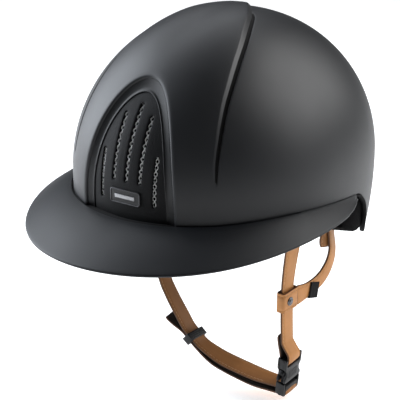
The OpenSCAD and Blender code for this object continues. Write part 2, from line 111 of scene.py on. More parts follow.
def resample(points, count):
    """Points evenly spaced along a smooth curve through the given ones."""
    points = np.asarray(points, float)
    fine = spline(np.arange(len(points)), points, np.linspace(0, len(points) - 1, 40 * len(points)))
    run = np.concatenate([[0], np.cumsum(np.linalg.norm(np.diff(fine, axis=0), axis=1))])
    at = np.linspace(0, run[-1], count)
    return np.stack([np.interp(at, run, fine[:, k]) for k in range(3)], 1)


# ---------------------------------------------------------------- the shell's surface
def field(v, depth=0.0):
    """1 on the surface `depth` below the shell's outer face, for vectors from the centre."""
    x, y, z = v[..., 0], v[..., 1], v[..., 2]
    reach = np.where(y < 0, FRONT, BACK) - depth
    rise = np.where(z >= 0, RISE - depth, TAPER)
    plan = (np.abs(x / (HALF_W - depth)) ** PLAN_POWER + np.abs(y / reach) ** PLAN_POWER)
    return np.sqrt(plan ** (2 / PLAN_POWER) + (z / rise) ** 2)


def outward(p):
    """Unit normal of the surface through p."""
    v = np.asarray(p, float) - CENTRE
    step = 0.05
    grad = [field(v + step * e) - field(v - step * e) for e in np.eye(3)]
    return unit(np.stack(grad, -1))


def on_skin(direction, depth=0.0, height=0.0):
    """Surface point in a direction from the centre, lifted by height along the normal."""
    d = np.asarray(direction, float)
    p = CENTRE + d / field(d, depth)[..., None]
    return p + outward(p) * np.asarray(height, float)[..., None] if np.any(height) else p


def at_height(azimuth, z, depth=0.0):
    """Surface point at an azimuth (degrees, 0 = front, 90 = wearer's left) and a height."""
    a, z = np.broadcast_arrays(np.radians(np.asarray(azimuth, float)), np.asarray(z, float))
    flat = np.stack([np.sin(a), -np.cos(a), 0 * a], -1)
    rise = np.where(z >= EQUATOR, RISE - depth, TAPER)
    level = np.sqrt(np.maximum(1 - ((z - EQUATOR) / rise) ** 2, 0))
    radius = level / field(flat, depth)
    return flat * radius[..., None] + np.stack([0 * a, 0 * a, z], -1)


def on_front(x, z, depth=0.0):
    """Surface point on the front half seen head-on at x and z."""
    x, z = np.broadcast_arrays(np.asarray(x, float), np.asarray(z, float))
    rise = np.where(z >= EQUATOR, RISE - depth, TAPER)
    level = np.maximum(1 - ((z - EQUATOR) / rise) ** 2, 1e-9) ** (PLAN_POWER / 2)
    rest = np.maximum(level - np.abs(x / (HALF_W - depth)) ** PLAN_POWER, 1e-9)
    return np.stack([x, -(FRONT - depth) * rest ** (1 / PLAN_POWER), z], -1)


def slerp(a, b, t):
    angle = np.arccos(np.clip((a * b).sum(-1), -1, 1))[..., None]
    t = np.asarray(t, float)[..., None]
    return (np.sin((1 - t) * angle) * a + np.sin(t * angle) * b) / np.maximum(np.sin(angle), 1e-9)


RIM_AZIMUTHS = [0, 99, 101.5, 104, 107, 110, 113, 117, 121, 126, 131, 138, 180]
RIM_HEIGHTS = [-9, -9, -4.0, -3.4, -4.6, -7.4, -11.4, -18, -27, -42.5, -50.5, -52, -52]
JOINT_AZIMUTHS = [0, 30, 60, 85, 103]
JOINT_HEIGHTS = [-1.6, 0, 2.3, 0.6, -2]


def rim_z(azimuth):
    return spline(RIM_AZIMUTHS, RIM_HEIGHTS, np.abs(azimuth))


def joint_z(azimuth):
    return spline(JOINT_AZIMUTHS, JOINT_HEIGHTS, np.abs(azimuth))


# ---------------------------------------------------------------- mesh helpers
def add_mesh(name, verts, faces, materials, body="helmet", replaces=(), indices=None, slot=None,
             sharp=None):
    """A mesh piece that rides on a body and stands for the CAD nodes named."""
    data = bpy.data.meshes.new(name)
    data.from_pydata([tuple(v) for v in np.asarray(verts, float) * MM], [], faces)
    for material in materials:
        data.materials.append(material)
    if indices is not None:
        data.polygons.foreach_set("material_index", np.asarray(indices, np.int32))
    data.polygons.foreach_set("use_smooth", [True] * len(data.polygons))
    data.validate()
    piece = bpy.data.objects.new(name, data)
    bpy.context.collection.objects.link(piece)
    if body:
        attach(piece, body)
    if replaces:
        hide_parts(*replaces)
    if sharp:
        tidy_normals(piece, sharp)
    return piece


def merge(parts):
    """One vertex and face list from several."""
    verts, faces, base = [], [], 0
    for v, f in parts:
        verts.append(np.asarray(v, float))
        faces += [tuple(base + k for k in face) for face in f]
        base += len(v)
    return np.concatenate(verts), faces


def add_parts(name, parts, material, body, node, slot, sharp=None, place=lambda points: points):
    """One piece from several parts, each a (verts, faces) pair."""
    verts, faces = merge(parts)
    return add_mesh(name, place(verts), faces, [material], body, [node] if node else [],
                    slot=slot, sharp=sharp)


def loft_faces(rings, around, closed=False):
    """Quads between closed rings of `around` points each; faces look outwards if the rings
    run anticlockwise seen from the far end."""
    faces = []
    for r in range(rings if closed else rings - 1):
        a, b = r * around, ((r + 1) % rings) * around
        faces += [(a + k, a + (k + 1) % around, b + (k + 1) % around, b + k)
                  for k in range(around)]
    if not closed:
        faces.append(tuple(range(around - 1, -1, -1)))
        faces.append(tuple((rings - 1) * around + k for k in range(around)))
    return faces


def loft(name, rings, material, closed=False, **place):
    """Closed skin through rings, an array (rings, around, 3)."""
    rings = np.asarray(rings, float)
    faces = loft_faces(*rings.shape[:2], closed)
    return add_mesh(name, rings.reshape(-1, 3), faces, [material], sharp=CREASE, **place)


def rounded_rect(w, h, r, count):
    """Closed loop round a rectangle, half w wide and half h high, with corners of radius r."""
    return [(cx * (w - r) + r * cos(a), cy * (h - r) + r * sin(a))
            for cx, cy, start in ((1, 1, 0), (-1, 1, 90), (-1, -1, 180), (1, -1, 270))
            for a in np.radians(start + np.linspace(0, 90, count))]


def triangulate(loops, extra=(), tolerance=1e-5):
    """Flat mesh bounded by closed loops: points, triangles and each loop's point numbers."""
    flat, edges, starts = [], [], []
    for loop in loops:
        start, n = len(flat), len(loop)
        starts.append((start, n))
        flat += [tuple(p) for p in loop]
        edges += [(start + k, start + (k + 1) % n) for k in range(n)]
    flat += [tuple(p) for p in extra]
    points, _, triangles, origins, *_ = delaunay_2d_cdt([Vector(p) for p in flat], edges, [], 0,
                                                        tolerance)
    number = {old: new for new, olds in enumerate(origins) for old in olds}
    rings = [[number[start + k] for k in range(n)] for start, n in starts]
    return np.array([tuple(p) for p in points]), [tuple(t) for t in triangles], rings


def add_ring(verts, faces, ring, points):
    """Quads from a ring of vertex numbers to new points; returns the new ring."""
    base, n = len(verts), len(ring)
    verts += [tuple(p) for p in points]
    faces += [(ring[k], ring[(k + 1) % n], base + (k + 1) % n, base + k) for k in range(n)]
    return [base + k for k in range(n)]


def tidy_normals(piece, sharp):
    """All faces look outwards, points that coincide are one, and steep edges stay crisp."""
    mesh = bmesh.new()
    mesh.from_mesh(piece.data)
    bmesh.ops.remove_doubles(mesh, verts=mesh.verts, dist=0.00001)
    bmesh.ops.recalc_face_normals(mesh, faces=mesh.faces)
    mesh.to_mesh(piece.data)
    mesh.free()
    piece.data.set_sharp_from_angle(angle=radians(sharp))


def add_modifier(piece, kind, **settings):
    modifier = piece.modifiers.new(kind.title(), kind)
    for key, value in settings.items():
        setattr(modifier, key, value)
    return modifier


def apply_modifiers(piece):
    depsgraph = bpy.context.evaluated_depsgraph_get()
    data = bpy.data.meshes.new_from_object(piece.evaluated_get(depsgraph))
    piece.modifiers.clear()
    old = piece.data
    piece.data = data
    bpy.data.meshes.remove(old)


# ---------------------------------------------------------------- materials
class Shader:
    """A node material under construction."""

    def __init__(self, name, color, roughness, **sockets):
        self.material = bpy.data.materials.new(name)
        self.material.use_nodes = True
        self.tree = self.material.node_tree
        self.bsdf = self.tree.nodes["Principled BSDF"]
        for key, value in dict(sockets, Base_Color=color, Roughness=roughness).items():
            self.put(self.bsdf.inputs[key.replace("_", " ")], value)
        self.coords = self.node("TexCoord").outputs["Object"]
        self.normal = None

    def put(self, socket, value):
        """Set a socket to a constant, or link it to another node's output."""
        if isinstance(value, bpy.types.NodeSocket):
            self.tree.links.new(value, socket)
        else:
            socket.default_value = (*value, 1) if socket.type == "RGBA" else value

    def node(self, kind, inputs=(), **settings):
        made = self.tree.nodes.new("ShaderNode" + kind)
        for key, value in settings.items():
            setattr(made, key, value)
        for key, value in dict(inputs).items():
            self.put(made.inputs[key], value)
        return made

    def noise(self, scale, detail=4.0):
        inputs = {"Scale": scale, "Detail": detail, "Roughness": 0.6, "Vector": self.coords}
        return self.node("TexNoise", inputs).outputs["Fac"]

    def voronoi(self, scale, feature="F1", stretch=(1, 1, 1)):
        way = self.node("Mapping", {"Scale": stretch, "Vector": self.coords}).outputs["Vector"]
        inputs = {"Scale": scale, "Vector": way}
        return self.node("TexVoronoi", inputs, feature=feature).outputs["Distance"]

    def wave(self, scale, direction):
        inputs = {"Scale": scale, "Vector": self.coords}
        return self.node("TexWave", inputs, bands_direction=direction).outputs["Fac"]

    def ramp(self, value, *stops):
        made = self.node("ValToRGB", {"Fac": value})
        for element, (at, color) in zip(made.color_ramp.elements, stops):
            element.position, element.color = at, (*color, 1)
        return made.outputs["Color"]

    def shades(self, value, color, low, high):
        """Colour that varies with a value, from tint low[1] at low[0] to high[1] at high[0]."""
        return self.ramp(value, *((at, tint(color, factor)) for at, factor in (low, high)))

    def mix(self, a, b, factor, blend="MIX"):
        return self.node("Mix", {6: a, 7: b, 0: factor}, data_type="RGBA",
                         blend_type=blend).outputs[2]

    def color(self, value):
        self.put(self.bsdf.inputs["Base Color"], value)

    def roughness(self, value, lo, hi):
        made = self.node("MapRange", {"To Min": lo, "To Max": hi, "Value": value})
        self.put(self.bsdf.inputs["Roughness"], made.outputs["Result"])

    def bump(self, value, distance, strength=0.5):
        inputs = {"Distance": distance, "Strength": strength, "Height": value}
        if self.normal is not None:
            inputs["Normal"] = self.normal
        self.normal = self.node("Bump", inputs).outputs["Normal"]
        self.put(self.bsdf.inputs["Normal"], self.normal)


def tint(color, factor):
    return tuple(c * factor for c in color)


def shell_material(name, color, shine=0.5):
    """Soft-touch paint: broad satin sheen, a very fine orange peel and faint handling marks."""
    s = Shader(name, color, 0.47, Specular_IOR_Level=shine)
    s.color(s.shades(s.noise(9, 3), color, (0.3, 0.93), (0.7, 1.07)))
    s.roughness(s.noise(35, 5), 0.43, 0.51)
    s.bump(s.noise(2600, 2), 0.00004, 0.35)
    s.bump(s.noise(320, 3), 0.00002, 0.25)
    return s.material


def grain_material(name, color, roughness, scale=1500, depth=0.0001, spread=0.05, strength=0.6,
                   shine=0.35):
    """Moulded plastic with a fine spark-eroded grain."""
    s = Shader(name, color, roughness, Specular_IOR_Level=shine)
    s.color(s.shades(s.noise(60), color, (0.3, 0.85), (0.75, 1.2)))
    s.roughness(s.noise(200, 3), roughness - spread, roughness + spread)
    s.bump(s.voronoi(scale), depth, strength)
    s.bump(s.noise(scale * 0.7, 3), depth * 0.6, strength * 0.7)
    return s.material


def leather_material(name, color, edge_color):
    """Smooth grain leather: pores, soft creases, and burnished dark edges."""
    s = Shader(name, color, 0.52, Specular_IOR_Level=0.32)
    mottle = s.shades(s.noise(55, 6), color, (0.3, 0.84), (0.72, 1.12))
    streak = s.shades(s.noise(240), color, (0.35, 0.9), (0.7, 1.06))
    edge = s.node("Attribute", attribute_name="edge").outputs["Fac"]
    worn = s.ramp(edge, (0.55, (0, 0, 0)), (0.98, (1, 1, 1)))
    s.color(s.mix(s.mix(mottle, streak, 0.4), edge_color, worn))
    s.roughness(s.noise(90, 4), 0.45, 0.62)
    s.bump(s.voronoi(1400), 0.00012, 0.35)
    s.bump(s.noise(420, 5), 0.00015, 0.3)
    return s.material


def foam_material():
    # near-black: the foam's own black, made darker still as painted shade inside the helmet
    s = Shader("foam", (0.0012, 0.0012, 0.0014), 0.9, Specular_IOR_Level=0.03)
    cells = s.voronoi(320, "DISTANCE_TO_EDGE")
    s.color(s.ramp(cells, (0.02, (0.0005, 0.0005, 0.0006)), (0.2, (0.0018, 0.0018, 0.002))))
    s.bump(cells, 0.0004, 0.5)
    return s.material


def knit_material(name, color, scale=900):
    """Spacer-mesh fabric: rows of small loops with a soft nap."""
    s = Shader(name, color, 0.9, Specular_IOR_Level=0.2, Sheen_Weight=0.12, Sheen_Roughness=0.5)
    cells = s.voronoi(scale, stretch=(1, 1, 1.4))
    s.color(s.shades(cells, color, (0.15, 0.35), (0.6, 1.5)))
    s.bump(cells, 0.0006, 0.8)
    s.bump(s.noise(160, 5), 0.0004, 0.3)
    return s.material


def metal_material(name, color, roughness, metallic=1.0):
    s = Shader(name, color, roughness, Metallic=metallic)
    s.color(s.shades(s.noise(400, 3), color, (0.3, 0.8), (0.7, 1)))
    s.roughness(s.noise(900, 4), roughness - 0.06, roughness + 0.1)
    s.bump(s.noise(1800, 2), 0.00003, 0.3)
    return s.material


def weave_material():
    s = Shader("label_weave", (0.006, 0.006, 0.0065), 0.8, Specular_IOR_Level=0.2)
    threads = s.mix(s.wave(900, "Y"), s.wave(900, "Z"), 0.5, "MULTIPLY")
    s.color(s.ramp(threads, (0.1, (0.002, 0.002, 0.002)), (0.9, (0.009, 0.009, 0.0095))))
    s.bump(threads, 0.00015, 0.7)
    return s.material


SHELL = shell_material("shell_paint", (0.0056, 0.0065, 0.0084))
VISOR = shell_material("visor_paint", (0.0056, 0.0066, 0.0087), 0.35)
GRILL = grain_material("grill_plastic", (0.0035, 0.0037, 0.0042), 0.58, 1100, 0.00018, shine=0.18)
FRAME = grain_material("frame_plastic", (0.004, 0.0043, 0.005), 0.36, 1600, 0.00005, shine=0.3)
# near-black: partly the binding's own colour, partly painted shade under the rim
RUBBER = grain_material("trim_rubber", (0.0018, 0.0018, 0.002), 0.7, 1300, 0.0001, shine=0.08)
# near-black: painted shade for the vent slit's floor, and partly painted shade in the joint strip
# under the brim
DARK_AND_GAP_SHADE = grain_material("dark_and_gap_shade", (0.003, 0.003, 0.003), 0.8, 1500, 0.0001)
BUCKLE = grain_material("buckle_plastic", (0.006, 0.0066, 0.0075), 0.4, 1500, 0.00009)
FOAM = foam_material()
KNIT = knit_material("pad_knit", (0.006, 0.006, 0.007))
BINDING = knit_material("binding_tape", (0.005, 0.005, 0.0055), 1500)
WIRE = metal_material("mesh_wire", (0.88, 0.88, 0.88), 0.34, 0.45)
STUD = metal_material("stud_metal", (0.16, 0.16, 0.17), 0.25)
RIVET = metal_material("rivet_metal", (0.1, 0.1, 0.105), 0.4)
BADGE = grain_material("badge_plastic", (0.012, 0.012, 0.013), 0.3, 1800, 0.00003)
BADGE_RIM = metal_material("badge_rim", (0.10, 0.10, 0.105), 0.35)
BADGE_BAR = metal_material("badge_bar", (0.42, 0.42, 0.43), 0.42)
LEATHER = leather_material("tan_leather", (0.52, 0.235, 0.078), (0.11, 0.045, 0.018))
# darker copy of the tan leather: painted shade for straps that hang in shade
LEATHER_SHADED = leather_material("tan_leather_shaded", (0.36, 0.158, 0.054), (0.10, 0.042, 0.017))
LEATHER_BACK = leather_material("leather_lining", (0.02, 0.013, 0.01), (0.03, 0.016, 0.01))
THREAD = grain_material("tan_thread", (0.56, 0.33, 0.17), 0.7, 2500, 0.00005)
LABEL = weave_material()
HOOK = knit_material("hook_tape", (0.01, 0.01, 0.01), 1400)


# ---------------------------------------------------------------- shell
# Matching places from the front opening to the rim: rim azimuth, point on the front panel's lip
# (or on its unseen continuation; x and z alone for the front half), place round the opening's
# arch (0 = apex, 1 = foot, 1.1 below it), panel's height at its lip, width of the bevel there,
# width and depth of the vent slit behind it, and columns up to the next line.
LIP = [
    (26.0, (50.0, -9.0), 1.10, 0.0, 0.8, 0.6, 0.0, 6),
    (31.0, (60.0, -2.0), 1.04, 0.0, 0.8, 0.6, 0.0, 6),
    (37.0, (65.5, 8.0), 0.95, 0.0, 0.8, 0.7, 0.0, 6),
    (43.0, (67.2, 20.0), 0.87, 0.0, 0.8, 1.0, 0.0, 10),
    (47.0, (66.8, 30.0), 0.80, 0.0, 0.8, 2.0, 0.0, 12),
    (52.0, (66.0, 38.0), 0.755, 0.1, 1.0, 2.8, 1.6, 8),
    (58.0, (64.9, 47.7), 0.70, 0.2, 1.3, 3.0, 2.2, 8),
    (66.0, (63.4, 61.8), 0.62, 0.3, 1.7, 3.2, 2.3, 10),
    (73.0, (61.9, 71.2), 0.56, 0.4, 2.1, 3.3, 2.3, 10),
    (82.0, (59.0, 85.5), 0.47, 0.55, 2.8, 3.3, 2.3, 10),
    (90.0, (56.0, 97.3), 0.39, 0.7, 3.4, 3.3, 2.3, 12),
    (98.0, (51.4, 109.0), 0.30, 0.95, 4.0, 3.3, 2.3, 16),
    (107.0, (44.0, 120.6), 0.21, 1.5, 4.7, 3.2, 2.3, 18),
    (117.0, (34.6, -17.0, 128.2), 0.14, 2.3, 5.3, 3.0, 2.3, 14),
    (125.0, (27.2, -2.6, 131.9), 0.095, 2.9, 5.6, 2.4, 1.6, 14),
    (134.0, (22.2, 5.0, 133.0), 0.075, 3.0, 5.6, 1.2, 0.3, 12),
    (145.0, (15.6, 14.0, 133.8), 0.052, 3.0, 5.6, 0.6, 0.0, 12),
    (156.0, (9.2, 23.0, 133.4), 0.032, 3.0, 5.6, 0.6, 0.0, 12),
    (165.0, (5.4, 28.0, 132.8), 0.018, 2.9, 5.6, 0.6, 0.0, 8),
    (172.0, (2.6, 30.4, 132.4), 0.008, 2.8, 5.6, 0.6, 0.0, 8),
    (180.0, (0.0, 31.2, 132.3), 0.0, 2.8, 5.6, 0.6, 0.0, 0),
]


def arch_point(place):
    """Point round the opening: 0 at the apex, 1 at the brim, on to 1.1 below it."""
    place = np.asarray(place, float)
    t = np.minimum(place, 1) * pi / 2
    x = ARCH_W * np.sin(t)
    z = ARCH_H * np.cos(t) - np.maximum(place - 1, 0) * 90
    return on_front(x, z)


def shell_columns():
    """Per column: unit directions of the opening, lip and rim, then the lip's four measures."""
    steps = [np.arange(row[7]) / row[7] + i for i, row in enumerate(LIP[:-1])]
    s = np.concatenate(steps + [[len(LIP) - 1.0]])
    knots = np.arange(len(LIP))
    lips = [on_front(*at) if len(at) == 2 else np.array(at) for _, at, *_ in LIP]
    lip = unit(spline(knots, unit(np.array(lips) - CENTRE), s))
    azimuth = spline(knots, [row[0] for row in LIP], s)
    rim = unit(at_height(azimuth, rim_z(azimuth)) - CENTRE)
    arch = unit(arch_point(spline(knots, [row[2] for row in LIP], s)) - CENTRE)
    return (arch, lip, rim, *(spline(knots, [row[k] for row in LIP], s) for k in (3, 4, 5, 6)))


def make_shell():
    arch, lip, rim, proud, bevel, gap, deep = shell_columns()
    lip_p, arch_p = on_skin(lip), on_skin(arch)
    front_run = np.linalg.norm(lip_p - arch_p, axis=1) * 1.04
    rear_run = np.arccos(np.clip((lip * rim).sum(-1), -1, 1)) * 118
    rows, marks = [], []

    def row(near, far, run, mm, height, depth=0.0, mark=0):
        rows.append(on_skin(slerp(near, far, mm / run), depth, height + 0 * mm))
        marks.append(mark)

    zero = np.zeros(len(arch))
    # rounded edge of the front opening
    for mm, h in ((0.0, -2.6), (0.05, -1.9), (0.35, -1.15), (0.95, -0.55), (1.8, -0.18), (3.0, 0)):
        row(arch, lip, front_run, zero + mm, zero + h)
    # front panel, swelling towards its lip
    shoulder = front_run - bevel - 1.0
    for q in np.linspace(0, 1, 30)[1:]:
        row(arch, lip, front_run, lerp(3.0, shoulder, q), proud * smoothstep(0.15, 1.0, q))
    # rounded shoulder and flat bevel down to the slit, whose near edge is sunk
    turn = 0.3
    open_ = np.minimum(deep, 1)
    sunk = open_ * (0.2 + 0.14 * bevel)
    for q in (0.1, 0.2, 0.3, 0.45, 0.65, 0.85, 0.97, 1.0):
        drop = (q * q / (2 * turn) if q < turn else q - turn / 2) / (1 - turn / 2)
        row(arch, lip, front_run, lerp(shoulder, front_run, q),
            lerp(proud, -sunk, drop))
    # slit with an undercut wall, a floor in painted shade (near-black, for the dark of the open
    # vent) and the shell's rounded edge behind it
    row(lip, rim, rear_run, 0.03 - 0.1 * open_, -sunk - 0.15 * open_, mark=1)
    row(lip, rim, rear_run, 0.06 - 0.45 * open_, -np.maximum(0.6 * deep, sunk + 0.3 * open_),
        mark=1)
    row(lip, rim, rear_run, 0.1 - 0.3 * open_, -deep, mark=1)
    row(lip, rim, rear_run, gap * 0.5, -deep, mark=1)
    row(lip, rim, rear_run, gap - 0.25, -deep, mark=1)
    row(lip, rim, rear_run, gap - 0.15, -0.4 * deep, mark=1)
    row(lip, rim, rear_run, gap - 0.05, -0.32 * open_)
    row(lip, rim, rear_run, gap + 0.15, -0.12 * open_)
    row(lip, rim, rear_run, gap + 0.5, -0.03 * open_)
    row(lip, rim, rear_run, gap + 1.2, zero)
    # back of the shell
    for q in np.linspace(0, 1, 76)[1:]:
        row(lip, rim, rear_run, lerp(gap + 1.2, rear_run - 2.2, q ** 1.15), zero)
    # rounded rim
    for mm, h in ((1.2, -0.12), (0.5, -0.45), (0.05, -1.1), (0.0, -1.9), (0.4, -2.6), (1.2, -2.95)):
        row(lip, rim, rear_run, rear_run - mm, zero + h)
    # inside face
    for q in np.linspace(0, 1, 26)[1:]:
        row(lip, rim, rear_run, lerp(rear_run - 1.2, 0, q), zero, depth=SHELL_WALL)
    for q in np.linspace(0, 1, 12)[1:]:
        row(arch, lip, front_run, lerp(front_run, 0.4, q), zero, depth=SHELL_WALL)
    half = np.stack(rows, 1)
    rings = np.concatenate([half, (half * [-1, 1, 1])[::-1][1:]])
    cut = np.concatenate([deep, deep[::-1][1:]])
    around = len(rows)
    # the slit's wall and floor faces take the near-black material: painted shade of the vent's
    # opening
    indices = [marks[k] if min(cut[r], cut[r + 1]) > 0.25 else 0
               for r in range(len(rings) - 1) for k in range(around)]
    faces = loft_faces(len(rings), around)
    add_mesh("shell", rings.reshape(-1, 3), faces, [SHELL, DARK_AND_GAP_SHADE], indices=indices + [0, 0],
             replaces=["outer_shell"], slot="shell_plastic", sharp=CREASE)


make_shell()


# ---------------------------------------------------------------- visor and its joint
VISOR_END = 103.0


def brim_edge(azimuth):
    """Outer edge of the brim: distance from the origin and height."""
    a = np.radians(azimuth)
    r = (126.0 + 43.9 * np.cos(a) + 7.06 * np.cos(2 * a) + 2.28 * np.cos(3 * a)
         + 1.41 * np.cos(4 * a) - 0.4 * np.cos(5 * a))
    z = (-9.9 - 8.76 * np.cos(a) - 4.4 * np.cos(2 * a) + 0.09 * np.cos(3 * a)
         - 1.22 * np.cos(4 * a) + 1.15 * np.cos(5 * a))
    return r, z


def make_visor():
    azimuths = np.concatenate([np.linspace(-VISOR_END, -92, 14)[:-1], np.linspace(-92, 92, 130),
                               np.linspace(92, VISOR_END, 14)[1:]])
    rings = []
    for a in azimuths:
        z0 = float(joint_z(a)[0])
        inner = at_height(a, z0)
        r0 = np.hypot(inner[0], inner[1]) + lerp(1.9, 0.4, float(smoothstep(64, 67, abs(a))))
        r1, z1 = brim_edge(a)
        r1 = max(r1, r0 + 1.6)
        reach = r1 - r0
        thick = 2.7 * smoothstep(0, 12, reach) + 1.0
        bulge = 1.9 * smoothstep(0, 45, reach)
        top = []
        for t in np.linspace(0, 1, 18) ** 0.9:
            rise = bulge * sin(pi * t ** 0.85)
            top.append((lerp(r0, r1 - 0.9, t), lerp(z0, z1 + 0.25, t) + rise))
        edge = [(r1 - 0.25, z1 - 0.25), (r1, z1 - 0.9), (r1 - 0.2, z1 - 1.7), (r1 - 0.9, z1 - 2.2)]
        if reach < 12:
            edge = [(r1 - 0.25 * 0.6, z1 - 0.2), (r1, z1 - 0.6), (r1 - 0.1, z1 - 1.1),
                    (r1 - 0.5, z1 - 1.5)]
        under = []
        for t in np.linspace(0, 1, 12)[1:]:
            r = lerp(edge[-1][0] - 0.4, r0, t)
            z = lerp(edge[-1][1], z0 - thick - 2.2 * min(1, reach / 12), t)
            under.append((r, z + bulge * 0.8 * sin(pi * t)))
        section = np.array([(r0, z0 - 0.9)] + [(r0 + 0.12, z0 - 0.3)] + top[1:] + edge + under)
        ca, sa = cos(radians(a)), sin(radians(a))
        rings.append([(r * sa, -r * ca, z) for r, z in section])
    return loft("brim", rings, VISOR, replaces=["visor"], slot="visor_plastic")


make_visor()


def band_rings(azimuths, section):
    """Rings round the shell: section(azimuth) lists (depth below the outer face, height)."""
    rings = []
    for a in azimuths:
        rings.append([at_height(a, z, 0) - outward(at_height(a, z, 0)) * depth
                      for depth, z in section(a)])
    return rings


def make_gasket():
    def section(a):
        z = float(joint_z(a)[0])
        back = lerp(7.2, 0.35, float(smoothstep(19.5, 21.5, abs(a))))     # ledge under the opening
        return [(back, z - 5), (-0.95, z - 5), (-1.9, z - 3.0), (-1.2, z - 2.2), (-0.4, z - 2.0),
                (back, z - 1.2)]
    azimuths = np.linspace(-72, 72, 120)
    # the strip takes the near-black material: partly a dark seal, partly painted shade of the gap
    # between shell and brim
    return loft("joint_seal", band_rings(azimuths, section), DARK_AND_GAP_SHADE, replaces=["visor_gasket"],
                slot="trim_rubber")


make_gasket()


def make_rim_trim():
    """Rounded rubber binding under the shell's edge behind the brim."""
    azimuths = np.concatenate([np.linspace(103.5, 135, 60), np.linspace(136, 224, 60),
                               np.linspace(225, 256.5, 60)])
    rings = []
    for a in azimuths:
        folded = min(a, 360 - a)
        z = float(rim_z(folded)[0])
        p = at_height(a, z)
        q = at_height(a + 0.4, float(rim_z(min(a + 0.4, 360 - a - 0.4))[0]))
        along = unit(q - p)
        n = outward(p)
        down = unit(np.cross(along, n))
        if down[2] > 0:
            down = -down
        ring = []
        for k in range(14):
            t = 2 * pi * k / 14
            ring.append(p - n * (1.35 + 2.0 * cos(t)) + down * (0.75 + 1.15 * sin(t)))
        rings.append(ring)
    return loft("rim_binding", rings, RUBBER, replaces=["rim_trim"], slot="trim_rubber")


make_rim_trim()


# ---------------------------------------------------------------- front opening
def arch_loop(w, h, count, low=ARCH_FOOT):
    """Closed loop (x, z) round an arch that stands on the brim: up the left, down the right."""
    t = np.linspace(0, pi, count)
    loop = np.stack([w * np.cos(t), h * np.sin(t)], 1)
    side = np.linspace(low, 0, 6)[:-1]
    right = np.stack([np.full(5, w), side], 1)
    left = np.stack([np.full(5, -w), side[::-1]], 1)
    foot = np.stack([np.linspace(-w, w, 17)[1:-1], np.full(15, low)], 1)
    return np.concatenate([right, loop, left, foot])


def slot_loop(x, low, high, radius, count=10):
    """Closed loop (x, z) round an upright slot with round ends."""
    top = np.linspace(0, pi, count)
    rise = np.linspace(high, low, 18)[1:-1]
    return np.concatenate([
        np.stack([x + radius * np.cos(top), high + radius * np.sin(top)], 1),
        np.stack([np.full(16, x - radius), rise], 1),
        np.stack([x - radius * np.cos(top), low - radius * np.sin(top)], 1),
        np.stack([np.full(16, x + radius), rise[::-1]], 1)])


SLOTS = [(0, 26.8, 79.7), (-12, 26.8, 72.4), (12, 26.8, 72.4), (-24.5, 11, 45.5), (24.5, 11, 45.5)]


def inside_slot(x, z, radius):
    hit = np.zeros(np.shape(x), bool)
    for sx, low, high in SLOTS:
        hit |= np.hypot(x - sx, z - np.clip(z, low, high)) < radius
    return hit


def make_grill():
    """Slotted floor of the front opening with rounded slot edges."""
    w, h, ease_in = GRILL_W, GRILL_H, 0.55
    outer = arch_loop(w, h, 90)
    loops = [slot_loop(x, low, high, SLOT_W / 2 + ease_in) for x, low, high in SLOTS]
    xs, zs = np.meshgrid(np.arange(-33, 34, 2.2), np.arange(-7.5, 88, 2.2))
    xs = xs + 1.1 * (np.arange(xs.shape[0]) % 2)[:, None]
    level = np.clip(1 - (np.maximum(zs, 0) / (h - 1.3)) ** 2, 0, 1)
    inner = np.abs(xs) < (w - 1.3) * np.sqrt(level)
    inner &= ~inside_slot(xs, zs, SLOT_W / 2 + ease_in + 1.0)
    fill = np.stack([xs[inner], zs[inner]], 1)
    points, triangles, rings = triangulate([outer] + loops, fill)
    faces = []
    for tri in triangles:
        x, z = points[list(tri)].mean(0)
        in_arch = abs(x) < w * sqrt(max(0, 1 - (max(z, 0) / h) ** 2))
        if in_arch and z > ARCH_FOOT and not inside_slot(x, z, SLOT_W / 2 + ease_in - 0.02):
            faces.append(tri)
    verts = [tuple(p) for p in on_front(points[:, 0], points[:, 1], FLOOR_DEPTH)]
    add_ring(verts, faces, rings[0], on_front(*outer.T, FLOOR_DEPTH + 2))
    for ring, (x, low, high) in zip(rings[1:], SLOTS):
        for r, depth in ((0.2, 0.1), (0.04, 0.3), (0, 0.7), (0, 2.1)):
            loop = slot_loop(x, low, high, SLOT_W / 2 + r)
            ring = add_ring(verts, faces, ring, on_front(*loop.T, FLOOR_DEPTH + depth))
    add_mesh("vent_insert", verts, faces, [GRILL], replaces=["front_grill"], slot="grill_plastic",
             sharp=CREASE)


make_grill()


def make_grill_frame():
    """Sloping frame between the shell's opening and the insert, with a fine raised inner edge."""
    section = [(0.0, 6.6), (0.0, 2.3), (0.02, 1.95), (0.08, 1.9), (0.2, 2.3), (0.45, 3.1),
               (0.72, 3.85), (0.86, 4.05), (0.9, 3.85), (0.945, 3.8), (0.98, 3.95), (1.0, 4.4),
               (1.0, 6.6)]
    t = np.linspace(0, pi, 150)
    foot = np.linspace(ARCH_FOOT, 0, 8)[:-1]
    rings = []

    def ring_at(cx, cz, low=None):
        ring = []
        for f, depth in section:
            w, h = lerp(ARCH_W - 0.02, GRILL_W, f), lerp(ARCH_H - 0.02, GRILL_H, f)
            x, z = w * cx, h * cz if low is None else low
            ring.append(on_front(x, z, depth))
        return ring

    rings += [ring_at(1, 0, z) for z in foot]
    rings += [ring_at(cos(a), sin(a)) for a in t]
    rings += [ring_at(-1, 0, z) for z in foot[::-1]]
    return loft("vent_frame", rings, FRAME, replaces=["grill_frame"], slot="grill_plastic")


make_grill_frame()


def tube(path, radius, sides=6):
    """Rings round a path; returns (verts, faces) of a round wire."""
    path = np.asarray(path, float)
    along = unit(np.gradient(path, axis=0))
    side = unit(np.cross(along, np.array([0.3, 0.1, 1.0])))
    other = np.cross(along, side)
    angles = np.linspace(0, 2 * pi, sides, endpoint=False)
    c, s = np.cos(angles)[:, None], np.sin(angles)[:, None]
    rings = [p + radius * (c * a + s * b) for p, a, b in zip(path, side, other)]
    return np.concatenate(rings), loft_faces(len(path), sides)


